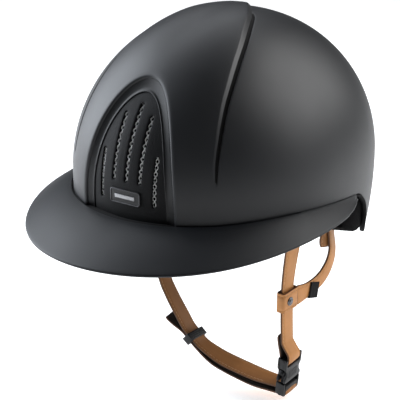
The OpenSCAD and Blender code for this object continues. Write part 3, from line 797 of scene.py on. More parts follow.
def make_wires():
    """Woven diagonal wire mesh behind the slots."""
    parts, pitch, slope = [], 4.6, 1.55
    for sign in (1, -1):
        for k in range(-40, 60):
            z0 = k * pitch
            x = np.linspace(-31, 31, 90)
            z = z0 + sign * slope * x
            reach = GRILL_W * np.sqrt(np.clip(1 - (z / 92) ** 2, 0, 1)) - 1
            keep = (z > 5) & (z < 85) & (np.abs(x) < reach)
            if keep.sum() < 8:
                continue
            x, z = x[keep], z[keep]
            wave = 0.28 * np.cos(pi * (2 * slope * x / pitch)) * (1 if k % 2 else -1) * sign
            path = on_front(x, z, MESH_DEPTH)
            path = path + outward(path) * wave[:, None]
            parts.append(tube(path, WIRE_R))
    add_parts("wire_mesh", parts, WIRE, "helmet", "vent_mesh", "wire_mesh")


make_wires()


def make_badge():
    """Blank satin plate with a raised border, curved with the insert."""
    half_w, half_h, corner, middle = 14.0, 5.6, 2.2, 14.2

    def outline(inset, height, wide=1.0, high=1.0):
        loop = np.array(rounded_rect(half_w - inset, half_h - inset, max(corner - inset, 0.4), 7))
        return on_front(loop[:, 0] * wide, middle + loop[:, 1] * high, FLOOR_DEPTH - height)

    profile = [(0, -0.4), (0, 1.1), (0.12, 1.45), (0.4, 1.6), (0.75, 1.55), (1.0, 1.25),
               (1.15, 0.95), (1.6, 0.9), (3.2, 0.95), (5.2, 1.0)]
    rings = [outline(*row) for row in profile]
    around = len(rings[0])
    indices = [int(2 <= r <= 4) for r in range(len(rings) - 1) for _ in range(around)] + [0, 0]
    # a plain raised bar stands in for any mark
    bar = [outline(3.3 + inset, height, 0.86, 0.62)
           for inset, height in ((0, 0.9), (0, 1.35), (0.2, 1.55), (0.8, 1.6))]
    parts = [(np.concatenate(loops), loft_faces(len(loops), around)) for loops in (rings, bar)]
    verts, faces = merge(parts)
    add_mesh("badge", verts, faces, [BADGE, BADGE_RIM, BADGE_BAR], replaces=["badge_plate"],
             indices=indices + [2] * len(parts[1][1]), slot="badge", sharp=CREASE)


make_badge()


# ---------------------------------------------------------------- straps
ANCHOR = np.array([81.8, -13.0, 1.0])         # front strap's middle plane at its rivet
BUCKLE_AT = np.array([69.1, -3.8, -140.4])    # housing's strap bar
LEAN, TILT = radians(10), radians(8)
OUT = np.array([cos(LEAN), 0, -sin(LEAN)])
UP = np.array([cos(TILT) * sin(LEAN), -sin(TILT), cos(TILT) * cos(LEAN)])
ACROSS = np.cross(UP, OUT)
FOOT_BAR_Z = -31.0
BAR_R = 2.0                                   # buckle's strap bars
WRAP_R = BAR_R + 0.5 + STRAP_T / 2
SEAM_INSET, GROOVE = 1.7, 0.16                # seam's distance from a strap's edge, its depth
STITCH_PITCH, THREAD_R = 3.1, 0.24
SLIDER_AT = np.array([-22.4, -8.4, -143.6])
SLIDER_DIR = np.array([0.75, 0.06, -0.66])
LAYER_GAP = np.array([-1.74, 0, -1.98])
REAR_RIVET = np.array([74, 50.6, -13])
REAR_TURN = radians(20)
FOOT_BAR = BUCKLE_AT + FOOT_BAR_Z * UP
Y_WAY = np.array([0.0, 1.0, 0.0])


def wrap(centre, start, end, steps=7):
    """Points of a strap's middle plane round a bar, by angle from the buckle's outer side."""
    angles = np.radians(np.linspace(start, end, steps))
    return [centre + WRAP_R * (OUT * cos(a) + UP * sin(a)) for a in angles]


def ribbon_section(width, thick):
    """(across, thickness, edge) round one strap section, anticlockwise from the +across side."""
    r = min(0.8, thick / 2 - 0.05)
    h, t = width / 2, thick / 2
    seam = h - SEAM_INSET
    side = [(h - r + r * cos(a), (t - r) + r * sin(a), 1.0 - 0.3 * k)
            for k, a in enumerate(np.radians([20, 50, 80]))]
    top = [(seam + 0.35, t + 0.02, 0.12), (seam + 0.12, t - GROOVE, 0.1),
           (seam - 0.12, t - GROOVE, 0.1), (seam - 0.35, t + 0.05, 0),
           (seam * 0.5, t + 0.14, 0), (0, t + 0.18, 0)]
    right = side + top
    left = [(-u, v, e) for u, v, e in right[-2::-1]]
    upper = right + left
    lower = [(u, -v, e) for u, v, e in upper[::-1]]
    return np.array([(h, 0, 1.0)] + upper + [(-h, 0, 1.0)] + lower)


def ribbon_frames(route, across, step=2.0):
    route = np.asarray([np.asarray(p, float) for p in route])
    across = np.asarray([np.asarray(p, float) for p in across])
    index = np.arange(len(route))
    fine = np.linspace(0, len(route) - 1, 30 * len(route))
    path = spline(index, route, fine)
    run = np.concatenate([[0], np.cumsum(np.linalg.norm(np.diff(path, axis=0), axis=1))])
    count = max(6, int(ceil(run[-1] / step)))
    at = np.interp(np.linspace(0, run[-1], count), run, fine)
    points, side = spline(index, route, at), unit(spline(index, across, at))
    along = unit(np.gradient(points, axis=0))
    side = unit(side - (side * along).sum(1)[:, None] * along)
    return points, side, np.cross(along, side), along, run[-1]


def ribbon_parts(route, across, width=((0, STRAP_W), (1, STRAP_W)), stitched=(0.02, 0.98),
                 faces_stitched=(1, -1), step=2.0):
    """Strap mesh (verts, faces, edge values) and its stitches (verts, faces)."""
    points, side, up, along, length = ribbon_frames(route, across, step)
    n = len(points)
    widths = np.interp(np.linspace(0, 1, n), *np.array(width, float).T)
    rings, edge = [], []
    for i in range(n):
        end = i in (0, n - 1)
        section = ribbon_section(widths[i] - 1.2 * end, STRAP_T - 0.7 * end)
        wobble = 0.12 * noise.noise(Vector((points[i] * 0.05).tolist()))
        rings.append(points[i] + section[:, :1] * side[i] + (section[:, 1:2] + wobble) * up[i])
        edge.append(np.ones(len(section)) if end else section[:, 2])
    verts = np.concatenate(rings)
    faces = loft_faces(n, len(rings[0]))
    threads = []
    count = int(length * (stitched[1] - stitched[0]) / STITCH_PITCH)
    for face in faces_stitched:
        for s in (1, -1):
            for k in range(count):
                a = (stitched[0] + (stitched[1] - stitched[0]) * (k + 0.5) / count) * (n - 1)
                i = min(int(a), n - 2)
                p, sd, u = (lerp(v[i], v[i + 1], a - i) for v in (points, side, up))
                w = lerp(widths[i], widths[i + 1], a - i) / 2 - SEAM_INSET
                centre = p + sd * s * w + u * face * (STRAP_T / 2 - 0.1)
                path = [centre + along[i] * q + u * face * lift
                        for q, lift in ((-1.15, -0.12), (-0.6, 0.16), (0.6, 0.16), (1.15, -0.12))]
                threads.append(tube(path, THREAD_R, 5))
    return (verts, faces, np.concatenate(edge)), threads


def set_edge(piece, values):
    layer = piece.data.attributes.new("edge", "FLOAT", "POINT")
    layer.data.foreach_set("value", np.asarray(values, np.float32))


def add_strap(name, parts, threads, body, replaces=(), blend=None, lining=0,
              leather=LEATHER):
    """Strap piece; lining is the side of its middle plane, 1 or -1, that has the dark lining."""
    verts, faces, edge = parts
    height = ribbon_section(STRAP_W, STRAP_T)[:, 1]
    around = len(height)
    middle = (height + np.roll(height, -1)) / 2
    marks = [int(lining * v > 0.3) for v in middle]
    indices = marks * ((len(faces) - 2) // around) + [0, 0]
    piece = add_mesh(name, verts, faces, [leather, LEATHER_BACK], None if blend else body,
                     replaces, indices, "leather_tan")
    set_edge(piece, edge)
    tidy_normals(piece, 50)
    made = [piece]
    made.append(add_parts(name + "_stitches", threads, THREAD, None if blend else body, None,
                          "leather_tan"))
    if blend:
        for obj in made:
            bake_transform(obj)
    return piece


FRONT_TOP = [ANCHOR + [0, 0, 7], ANCHOR, ANCHOR + [-0.3, 0, -8]]
LEFT_HANG = FRONT_TOP + [np.array(p, float) for p in (
    (80, -13, -20), (76, -12.6, -38), (71.5, -11, -62), (68.6, -9, -80), (67.8, -8, -96),
    (67.3, -6.8, -112), (67.3, -6.3, -122), (67.7, -6.1, -126.6), (70.6, -5.4, -131.8),
    (73, -4.7, -136.4))]
LEFT_FOLD = [np.array(p, float) for p in ((64.9, -4.6, -134), (64.2, -5.6, -127),
                                          (63.9, -6.3, -119.5))]


def make_front_straps():
    route = LEFT_HANG + wrap(BUCKLE_AT, 0, -180) + LEFT_FOLD
    top_way = np.array([0.15, 0.985, 0])
    across = [lerp(top_way, Y_WAY, float(smoothstep(-40, -80, p[2]))) for p in LEFT_HANG]
    across += [ACROSS] * 7 + [Y_WAY] * 3
    strap, threads = ribbon_parts(route, across, stitched=(0.02, 0.755), step=1.6)
    add_strap("left_cheek_strap", strap, threads, "harness", ["left_front_strap"], lining=-1)

    route = FRONT_TOP + [(80, -13, -20), (77, -13, -36), (71.7, -13, -58), (61.8, -12.6, -77),
                         (54.8, -12, -91.8)]
    route = [np.array(p, float) * [-1, 1, 1] for p in route]
    way = np.array([-0.13, 0.99, 0])
    strap, threads = ribbon_parts(route, [way] * len(route))
    add_strap("right_cheek_strap", strap, threads, "harness", ["right_front_strap"])


make_front_straps()

REAR_ROUTE = np.array([(74, 50.6, -6), (74, 50.6, -13), (73.1, 50, -24), (71.3, 49.2, -40),
                       (71.8, 50.4, -54), (73, 50, -62), (73.3, 47.5, -70.5), (72.8, 42.5, -78),
                       (72.2, 35, -83.8), (71.6, 25, -87.2), (71, 13, -88.7), (70.4, 1.5, -88.8)])
REAR_FACE = np.array([0.94, 0.34, 0])         # outward face of a rear strap at its rivet
REAR_WIDTH = [(0, 16), (0.4, 15), (0.6, 13), (0.75, 12.5), (0.88, 13), (1.0, 17)]


def make_rear_straps():
    """The rear straps hang from the shell and end at the swinging harness."""
    step = np.arange(len(REAR_ROUTE))[:, None]
    ease = smoothstep(3, 11, step)
    face = unit(lerp(REAR_FACE, np.array([1.0, 0, 0]), smoothstep(3, 8, step)))
    for side, name, lean in ((1, "left", (0, 0, 0)), (-1, "right", (12.8, 4, -3))):
        route = REAR_ROUTE - np.array(lean) * ease
        across = np.cross(face, unit(np.gradient(route, axis=0))) * [side, 1, 1]
        strap, threads = ribbon_parts(route * [side, 1, 1], across, width=REAR_WIDTH,
                                      stitched=(0.02, 0.97))
        add_strap(f"{name}_neck_strap", strap, threads, None, [f"{name}_rear_strap"],
                  blend=("helmet", "harness", (side * 0.0733, 0.0506, -0.030),
                         (side * 0.0715, 0.020, -0.088)), lining=-side)


make_rear_straps()


def make_strap_tail():
    """Folded-over end of the left rear strap."""
    route = [(71.1, 44.5, -40), (70.7, 44, -46), (70.2, 43, -53), (70.4, 42.2, -59.5)]
    across = [(-0.2, 0.98, 0), (0, 1, 0), (0.2, 0.98, 0), (0.3, 0.95, 0)]
    strap, threads = ribbon_parts(route, across, width=[(0, 12), (0.7, 12), (1, 9)])
    # darker leather: painted shade on the folded tail
    add_strap("neck_strap_tail", strap, threads, "helmet", ["rear_strap_tail"],
              leather=LEATHER_SHADED)


make_strap_tail()


def place(points, at, x_way, y_way, z_way):
    points = np.asarray(points, float)
    return (np.asarray(at, float) + points[..., :1] * x_way + points[..., 1:2] * y_way
            + points[..., 2:3] * z_way)


def rotation(x=0.0, y=0.0):
    """Axes of a frame turned about X, then about Y (degrees)."""
    turn = Matrix.Rotation(radians(y), 3, "Y") @ Matrix.Rotation(radians(x), 3, "X")
    return [np.array(turn.col[k]) for k in range(3)]


def make_junction(side, at, turn):
    """Stitched leather sleeve round the front strap, with a snap stud on its outer face."""
    axes = rotation(*turn)
    hw, ht = 10.4, 4.1                       # outer half width and half thickness

    rings = []
    # outside from foot to head, then back down the inside
    profile = [(0.9, -8.6), (0.25, -8.4), (0, -7.8), (0, -6.6), (0.12, -6.5), (0.12, -6.2),
               (0, -6.1), (0, -2), (0, 3), (0, 6.1), (0.12, 6.2), (0.12, 6.5), (0, 6.6), (0, 7.8),
               (0.25, 8.4), (0.9, 8.6), (1.7, 8.6), (2.1, 8.2), (2.2, 7), (2.2, 0), (2.2, -7),
               (2.1, -8.2), (1.7, -8.6)]
    for inset, z in profile:
        loop = rounded_rect(ht - inset, hw - inset, max(2.6 - inset, 0.5), 6)
        rings.append([(x, y, z) for x, y in loop])
    rings = place(np.array(rings), at, *axes)
    faces = loft_faces(len(rings), rings.shape[1], closed=True)
    name = "left" if side > 0 else "right"
    piece = add_mesh(f"{name}_sleeve", rings.reshape(-1, 3), faces, [LEATHER], "harness",
                     [f"{name}_junction_loop"], slot="leather_tan")
    worn = np.repeat([1.0 if abs(z) > 8 or inset > 1.5 else 0.15 for inset, z in profile],
                     rings.shape[1])
    set_edge(piece, worn)
    tidy_normals(piece, 50)
    threads = []
    for z in (-6.35, 6.35):
        for k in range(6):
            y = -7.5 + 3 * k
            path = [(side * (ht + dx), y + dy, z)
                    for dy, dx in ((-1.1, -0.15), (-0.5, 0.12), (0.5, 0.12), (1.1, -0.15))]
            threads.append(tube(place(path, at, *axes), THREAD_R, 5))
    add_parts(f"{name}_sleeve_stitches", threads, THREAD, "harness", None, "leather_tan")
    return axes


def lathe(profile, at, axis, sides=28):
    """Round piece from (radius, height) pairs along an axis."""
    axis = unit(np.asarray(axis, float))
    a = unit(np.cross(axis, [0.2, 0.3, 1.0]))
    b = np.cross(axis, a)
    angles = np.linspace(0, 2 * pi, sides, endpoint=False)
    rings = [np.asarray(at, float) + axis * h + max(r, 0.01) * (np.cos(angles)[:, None] * a
                                                               + np.sin(angles)[:, None] * b)
             for r, h in profile]
    return np.concatenate(rings), loft_faces(len(profile), sides)


def make_junctions():
    left = (np.array([68.2, -8.4, -89]), (3, 3))
    right = (np.array([-58.2, -12.3, -84.6]), (0, -25))
    parts = []
    for side, (at, turn) in ((1, left), (-1, right)):
        axes = make_junction(side, at, turn)
        stud = [(3.6, -0.6), (3.6, 0.5), (3.4, 0.85), (3.0, 1.0), (2.55, 0.85), (2.3, 0.5),
                (2.05, 0.45), (1.9, 0.85), (1.6, 1.4), (0.9, 1.7), (0, 1.8)]
        parts.append(lathe(stud, at + side * 4.1 * axes[0] - 2 * axes[1], side * axes[0]))
    add_parts("studs", parts, STUD, "harness", "junction_studs", "stud_metal", 45)


make_junctions()


def rounded_box(half, r, at):
    """(verts, faces) of a box round a point, with rounded upright and level edges."""
    hx, hy, hz = half
    profile = [(r, hz), (r * 0.35, hz - r * 0.25), (0, hz - r)]
    profile = [(inset, -z) for inset, z in profile] + profile[::-1]
    rings = np.array([[(x, y, z) for x, y in rounded_rect(hx - inset, hy - inset, r - inset, 4)]
                      for inset, z in profile]) + np.array(at)
    return rings.reshape(-1, 3), loft_faces(*rings.shape[:2])


def make_label():
    """Blank woven tag folded round the rear strap, with a hemmed edge."""
    half_h, half_w = 6.3, 6.4
    boards = [((0.34, half_w, half_h), (1.75, 0, 0)), ((0.3, half_w, half_h), (-1.5, 0, 0))]
    boards += [((1.9, half_w, 0.3), (0.1, 0, z)) for z in (-half_h, half_h)]
    parts = [rounded_box(half, 0.28, at) for half, at in boards]
    parts += [tube([(2.1, y, z) for z in np.linspace(-5.8, 5.8, 6)], 0.22, 6) for y in (-5.6, 5.6)]
    add_parts("blank_label", parts, LABEL, "harness", "label_tag", "label_weave", 45,
              lambda points: place(points, (71.6, 23.5, -90.4), *rotation(x=-15)))


make_label()

CHIN_TILT = np.array([0, 0.96, 0.28])
CHIN_HANG = [np.array(p, float) for p in (
    (-52.6, -12, -96.2), (-49.6, -12, -103), (-43.4, -11.2, -114.5), (-36.5, -10, -126),
    SLIDER_AT - 9 * SLIDER_DIR, SLIDER_AT, SLIDER_AT + 9 * SLIDER_DIR,
    (-4, -6.4, -155.5), (8.4, -4.6, -160.2), (34, -2, -165.4), (51, -0.6, -167))]


def make_chin_straps():
    """Upper layer, which wraps the plug's bar, and the lower layer with its free tail."""
    lead = [np.array([-56.2, -12.1, -88.9])]             # hidden start inside the right sleeve
    turn = wrap(FOOT_BAR, 90, -90)
    route = lead + CHIN_HANG + turn + [FOOT_BAR - WRAP_R * UP - 4 * OUT]
    tilt = [lerp(Y_WAY, CHIN_TILT, float(smoothstep(6, 8, i) * (1 - smoothstep(9, 11, i))))
            for i in range(len(CHIN_HANG))]
    tilt[:3] = [np.array([-0.09, 0.996, 0]), np.array([-0.06, 0.998, 0]), np.array([-0.03, 1, 0])]
    across = [np.array([-0.1, 0.995, 0])] + tilt + [ACROSS] * (len(turn) + 1)
    strap, threads = ribbon_parts(route, across, stitched=(0.06, 0.80), step=1.6)
    seam = ((-0.0557, -0.0121, -0.0905), (-0.0475, -0.0118, -0.108))
    # darker leather: painted shade on the upper chin strap
    add_strap("chin_strap_upper", strap, threads, None, ["chin_strap"],
              blend=("harness", "chin", *seam), lining=-1, leather=LEATHER_SHADED)

    route = [(-46.5, -12, -129), (-39.8, -10.8, -134), SLIDER_AT - 9 * SLIDER_DIR + LAYER_GAP,
             SLIDER_AT + LAYER_GAP, SLIDER_AT + 9 * SLIDER_DIR + LAYER_GAP, (-5, -6.8, -159.6),
             (8, -4.8, -164.6), (33, -2, -170.6), (50, 0, -172.7),
             FOOT_BAR - WRAP_R * UP - 4.6 * OUT]
    route = [np.array(p, float) for p in route]
    across = [lerp(Y_WAY, CHIN_TILT, float(smoothstep(4, 6, i) * (1 - smoothstep(7, 9, i))))
              for i in range(9)] + [ACROSS]
    strap, threads = ribbon_parts(route, across, stitched=(0.03, 0.9), faces_stitched=(-1,))
    add_strap("chin_strap_lower", strap, threads, "chin", ["strap_return"], lining=1)


make_chin_straps()


# ---------------------------------------------------------------- buckle and slider
def plate(outline, low, high, inset=0.45):
    """Flat part with rounded rims: an outline in local (y, z), from x = low to high."""
    outline = np.asarray(outline, float)
    ahead = np.roll(outline, -1, 0)
    if np.sum(outline[:, 0] * ahead[:, 1] - ahead[:, 0] * outline[:, 1]) < 0:
        outline = outline[::-1]

    def shrink(by):
        back, ahead = outline - np.roll(outline, 1, 0), np.roll(outline, -1, 0) - outline
        along = unit(unit(back) + unit(ahead))
        return outline + by * np.stack([-along[:, 1], along[:, 0]], 1)

    rim = shrink(inset)
    points, triangles, (ring,) = triangulate([rim], tolerance=1e-6)

    def inside(p):
        hit = False
        for a, b in zip(rim, np.roll(rim, -1, 0)):
            if (a[1] > p[1]) != (b[1] > p[1]):
                hit ^= p[0] < (b[0] - a[0]) * (p[1] - a[1]) / (b[1] - a[1]) + a[0]
        return hit

    faces = [t for t in triangles if inside(points[list(t)].mean(0))]
    n = len(points)
    faces += [(n + a, n + c, n + b) for a, b, c in faces]
    verts = [(high, *p) for p in points] + [(low, *p) for p in points]
    bottom = [n + k for k in ring]
    for by, x in ((0.3 * inset, high - 0.3 * inset), (0, high - inset), (0, low + inset),
                  (0.3 * inset, low + 0.3 * inset)):
        ring = add_ring(verts, faces, ring, [(x, *p) for p in shrink(by)])
    m = len(ring)
    faces += [(ring[k], ring[(k + 1) % m], bottom[(k + 1) % m], bottom[k]) for k in range(m)]
    return np.array(verts), faces


def add_buckle_part(name, parts, body, node):
    add_parts(name, parts, BUCKLE, body, node, "buckle_plastic", 35,
              lambda points: place(points, BUCKLE_AT, OUT, ACROSS, UP))


def smooth_outline(right, count=60):
    """Closed outline from its right half (y, z), listed from the top down, and its mirror."""
    right = np.asarray(right, float)
    fine = spline(np.arange(len(right)), right, np.linspace(0, len(right) - 1, count))
    return np.concatenate([fine, (fine * [-1, 1])[::-1]])


def make_housing():
    waist = [(10.2, 2.6), (10.9, 1.8), (11.0, -1), (11.0, -5), (10.6, -7.6), (9.3, -9.4),
             (8.7, -11.6), (9.0, -14), (10.3, -16.2), (11.0, -18.2), (10.6, -20.0), (9.8, -20.4)]
    half = smooth_outline(waist)
    top = [(-8.7, 2.6), (-8.7, -4.2), (-8.2, -5), (8.2, -5), (8.7, -4.2), (8.7, 2.6)]
    outline = np.concatenate([half, top])
    parts = [plate(outline, 2.5, 4.3), plate(outline, -4.3, -2.5)]
    # middle layer: side legs down to the shoulders
    legs = smooth_outline([(10.3, 2.3), (10.6, 1.5), (10.6, -5), (10.2, -7.4), (8.6, -8.2)])
    legs = np.concatenate([legs, [(-8.7, 2.3), (-8.7, -5), (8.7, -5), (8.7, 2.3)]])
    parts.append(plate(legs, -2.6, 2.6, 0.2))
    parts.append(tube([(0, y, 0) for y in np.linspace(-11, 11, 12)], BAR_R, 14))
    # fine ribs on the outer face, for the thumb
    for k in range(5):
        z = -10.2 - 1.5 * k
        parts.append(tube([(4.25, y, z) for y in np.linspace(-5.4, 5.4, 6)], 0.42, 8))
    add_buckle_part("buckle_housing_shell", parts, "harness", "buckle_housing")


make_housing()


def make_plug():
    right = [(9.4, -20.9), (10.8, -21.4), (11.0, -23), (11.0, -27), (10.9, -31), (10.2, -33.2),
             (9.6, -33.4)]
    outline = smooth_outline(right, 36)
    foot = [(-8.5, -33.4), (-8.5, -26.2), (-7.6, -25.3), (7.6, -25.3), (8.5, -26.2), (8.5, -33.4)]
    parts = [plate(np.concatenate([outline, foot]), -4.2, 4.2, 0.8)]
    parts.append(tube([(0, y, FOOT_BAR_Z) for y in np.linspace(-11, 11, 12)], BAR_R, 14))
    guide = [(-1.7, -21.4), (-1.7, -10.2), (-1.2, -8.9), (1.2, -8.9), (1.7, -10.2), (1.7, -21.4)]
    parts.append(plate(guide, -2.1, 2.1, 0.4))
    add_buckle_part("buckle_plug_base", parts, "chin", "buckle_plug")
    arm = np.array([(5.2, -22.8), (7.2, -22.8), (7.3, -19.5), (7.8, -16.6), (9.0, -14.2),
                    (10.4, -13.2), (10.9, -12.2), (10.5, -10.8), (8.6, -8.9), (7.2, -8.6),
                    (6.2, -9.0), (5.9, -12), (5.4, -17)])
    for side, name in ((1, "rear"), (-1, "front")):
        add_buckle_part(f"{name}_latch_arm", [plate(arm * [side, 1], -2.15, 2.15)],
                        f"{name}_prong", f"{name}_prong")


make_plug()


def make_slider():
    """Three-bar length adjuster with a ribbed outer bar."""
    way = unit(SLIDER_DIR)
    normal = unit(np.cross(Y_WAY, way))
    if normal[2] < 0:
        normal = -normal
    centre = SLIDER_AT + LAYER_GAP / 2
    t, w, long_ = 4.0, 10.2, 3.6
    # local x = out of the strap, y = across it, z = along it
    parts = [rounded_box((0.5, w, long_), 0.45, (x, 0, 0)) for x in (t - 0.5, 0.5 - t)]
    parts += [rounded_box((t - 0.3, 1.1, long_), 0.7, (0, y, 0)) for y in (w - 1.1, 1.1 - w)]
    parts += [rounded_box((0.4, w - 0.6, 0.5), 0.3, (t - 0.1, 0, z))
              for z in (-2.4, -0.8, 0.8, 2.4)]
    add_parts("length_slider", parts, BUCKLE, "slider", "strap_slider", "buckle_plastic", 35,
              lambda points: place(points, centre, normal, Y_WAY, way))


make_slider()


def make_rivets():
    parts = []
    head = [(2.4, 0.4), (4.5, 0.3), (4.6, -0.2), (4.3, -0.8), (3.4, -1.4), (1.6, -1.7), (0, -1.75)]
    for side in (1, -1):
        parts.append(lathe(head, (side * (ANCHOR[0] - 1.35), ANCHOR[1], ANCHOR[2]), (side, 0, 0)))
        way = np.array([side * cos(REAR_TURN), sin(REAR_TURN), 0])
        at = REAR_RIVET * [side, 1, 1] - way * 1.35
        parts.append(lathe(head, at, way))
    add_parts("rivet_heads", parts, RIVET, "helmet", "strap_rivets", "rivet_metal", 40)


make_rivets()


# ---------------------------------------------------------------- liner, pads and hook patches
FOAM_AZIMUTHS = [0, 93, 97, 100, 106, 112, 118, 123, 127, 136, 180]
FOAM_HEIGHTS = [-6, -6, -27, -30, -35, -39.5, -42.5, -44, -45, -47, -47]
PAD_AZIMUTHS = [96, 104, 118, 130, 150, 180]
PAD_HEIGHTS = [-34, -43, -47, -51, -55, -57]
LINER_NEAR, LINER_FAR = 3.4, 25.0             # depths of the foam's faces below the shell's outside
POCKET = 5.6                                  # further depth behind the front opening
PAD_NEAR, PAD_FAR = 28.2, 33.5                # depths of the pads' faces


def latitude(z, depth):
    rise = np.where(np.asarray(z) >= EQUATOR, RISE - depth, TAPER)
    return np.degrees(np.arcsin(np.clip((z - EQUATOR) / rise, -1, 1)))


def at_latitude(azimuth, angle, depth):
    level = np.sin(np.radians(angle))
    return at_height(azimuth, EQUATOR + np.where(level >= 0, RISE - depth, TAPER) * level, depth)


def make_liner():
    """Expanded-foam liner: a pocket behind the front opening and long air channels inside."""
    rings = []
    for a in np.linspace(0, 360, 240, endpoint=False):
        foot = float(spline(FOAM_AZIMUTHS, FOAM_HEIGHTS, min(a, 360 - a))[0])
        rise = lerp(latitude(foot + 1.5, LINER_NEAR), 89.7, np.linspace(0, 1, 50))
        plain = at_latitude(a, rise, LINER_NEAR)
        pocket = (np.abs(plain[:, 0]) < ARCH_W + 7) & (plain[:, 1] < 0) & (plain[:, 2] < ARCH_H + 9)
        outer = at_latitude(a, rise, LINER_NEAR + POCKET * pocket)
        fall = lerp(89.7, latitude(foot + 1.5, LINER_FAR), np.linspace(0, 1, 60))
        plain = at_latitude(a, fall, LINER_FAR)
        channel = sum(np.exp(-((np.abs(plain[:, 0]) - x) / 6.5) ** 4) for x in (0, 33))
        inner = at_latitude(a, fall, LINER_FAR - 6 * channel * smoothstep(26, 40, plain[:, 2]))
        near = LINER_NEAR + (POCKET if pocket[0] else 0)
        rim = [at_height(a, foot + z, depth) for depth, z in
               ((LINER_FAR - 0.45, 0.45), (LINER_FAR - 1.5, 0), ((near + LINER_FAR) / 2, -0.1),
                (near + 1.5, 0), (near + 0.45, 0.45))]
        rings.append(np.concatenate([outer, inner, rim]))
    return loft("foam_liner", rings, FOAM, closed=True, replaces=["eps_liner"], slot="foam")


make_liner()


def pillow(surface, half, corner, near, far, edge, cells):
    """Closed pad over surface(s, t, depth), s and t from -1 to 1: rounded corners, and faces that
    draw together over the last `edge` millimetres."""
    s, t = np.meshgrid(np.linspace(-1, 1, cells[0]), np.linspace(-1, 1, cells[1]))
    way = np.maximum(np.maximum(np.abs(s), np.abs(t)), 1e-6)
    bx, by = s / way * half[0], t / way * half[1]
    inside, outside = np.zeros_like(s), np.ones_like(s)
    for _ in range(22):
        k = (inside + outside) / 2
        over = np.hypot(np.maximum(np.abs(bx * k) - half[0] + corner, 0),
                        np.maximum(np.abs(by * k) - half[1] + corner, 0)) > corner
        inside, outside = np.where(over, inside, k), np.where(over, k, outside)
    room = (1 - way) * np.hypot(bx, by) * inside
    s, t = bx * inside * way / half[0], by * inside * way / half[1]
    swell = np.sqrt(1 - (1 - np.clip(room / edge, 0, 1)) ** 2)
    near = near(s, t) if callable(near) else near
    middle, thick = (near + far) / 2, (far - near) / 2 * (0.42 + 0.54 * swell)
    faces = []
    rows, cols = s.shape
    n = rows * cols
    for r in range(rows - 1):
        for c in range(cols - 1):
            a, b = r * cols + c, (r + 1) * cols + c
            faces += [(a, a + 1, b + 1, b), (n + a, n + b, n + b + 1, n + a + 1)]
    loop = ([c for c in range(cols)] + [r * cols + cols - 1 for r in range(1, rows)]
            + [(rows - 1) * cols + c for c in range(cols - 2, -1, -1)]
            + [r * cols for r in range(rows - 2, 0, -1)])
    faces += [(a, n + a, n + b, b) for a, b in zip(loop, loop[1:] + loop[:1])]
    verts = np.concatenate([surface(s, t, middle - thick).reshape(-1, 3),
                            surface(s, t, middle + thick).reshape(-1, 3)])
    hem = surface(0.985 * s, 0.95 * t, middle + 0 * thick).reshape(-1, 3)[loop]
    return verts, faces, hem


CLOTH_FRAMES = 20


def fill_pad(piece, limit=0.0016):
    """Fill a pad by cloth simulation; no point moves further than the limit."""
    add_modifier(piece, "REMESH", mode="VOXEL", voxel_size=0.0032)
    apply_modifiers(piece)
    count = len(piece.data.vertices)
    start = np.empty(count * 3)
    piece.data.vertices.foreach_get("co", start)
    cloth = piece.modifiers.new("Cloth", "CLOTH")
    for key, value in dict(quality=4, mass=0.15, tension_stiffness=12, compression_stiffness=12,
                           bending_stiffness=0.4, use_pressure=True,
                           uniform_pressure_force=4).items():
        setattr(cloth.settings, key, value)
    cloth.settings.effector_weights.gravity = 0
    cloth.point_cache.frame_start, cloth.point_cache.frame_end = 1, CLOTH_FRAMES
    for number in range(1, CLOTH_FRAMES + 1):
        bpy.context.scene.frame_set(number)
    apply_modifiers(piece)
    moved = np.empty(count * 3)
    piece.data.vertices.foreach_get("co", moved)
    step = (moved - start).reshape(-1, 3)
    length = np.maximum(np.linalg.norm(step, axis=1, keepdims=True), 1e-9)
    kept = start.reshape(-1, 3) + step * np.minimum(1, limit / length)
    piece.data.vertices.foreach_set("co", kept.reshape(-1))
    bpy.context.scene.frame_set(1)
    add_modifier(piece, "SUBSURF", levels=1, render_levels=1)
    apply_modifiers(piece)
    piece.data.polygons.foreach_set("use_smooth", [True] * len(piece.data.polygons))


def add_pad(name, node, verts, faces, hem):
    """Filled fabric pad with binding tape along its hem."""
    piece = add_mesh(name, verts, faces, [KNIT], None, sharp=80)
    fill_pad(piece)
    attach(piece, "helmet")
    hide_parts(node)
    closed = np.concatenate([hem[-2:], hem, hem[:3]])
    path = resample(closed[::2], 260)[3:-2]
    add_parts(name + "_binding", [tube(path, 1.3, 8)], BINDING, "helmet", None, "pad_fabric", 80)


def band_surface(middle, half, low, high):
    """Surface strip round the head: azimuths middle +- half, heights from low to high."""
    def surface(s, t, depth):
        azimuth = middle + half * s
        z = lerp(low(azimuth), high(azimuth), (t + 1) / 2)
        return at_height(azimuth, z, depth)
    return surface


def level(z):
    return lambda azimuth: z + 0 * azimuth


def nape_low(azimuth):
    folded = np.abs(np.where(azimuth > 180, 360 - azimuth, azimuth))
    return spline(PAD_AZIMUTHS, PAD_HEIGHTS, folded.reshape(-1)).reshape(folded.shape)


def nape_near(s, t):
    """The nape pad is thinner where the rear straps and their rivets pass."""
    folded = np.abs(180 - np.abs(82 * s))
    return PAD_NEAR + 2.8 * (smoothstep(112, 118, folded) - smoothstep(130, 136, folded))


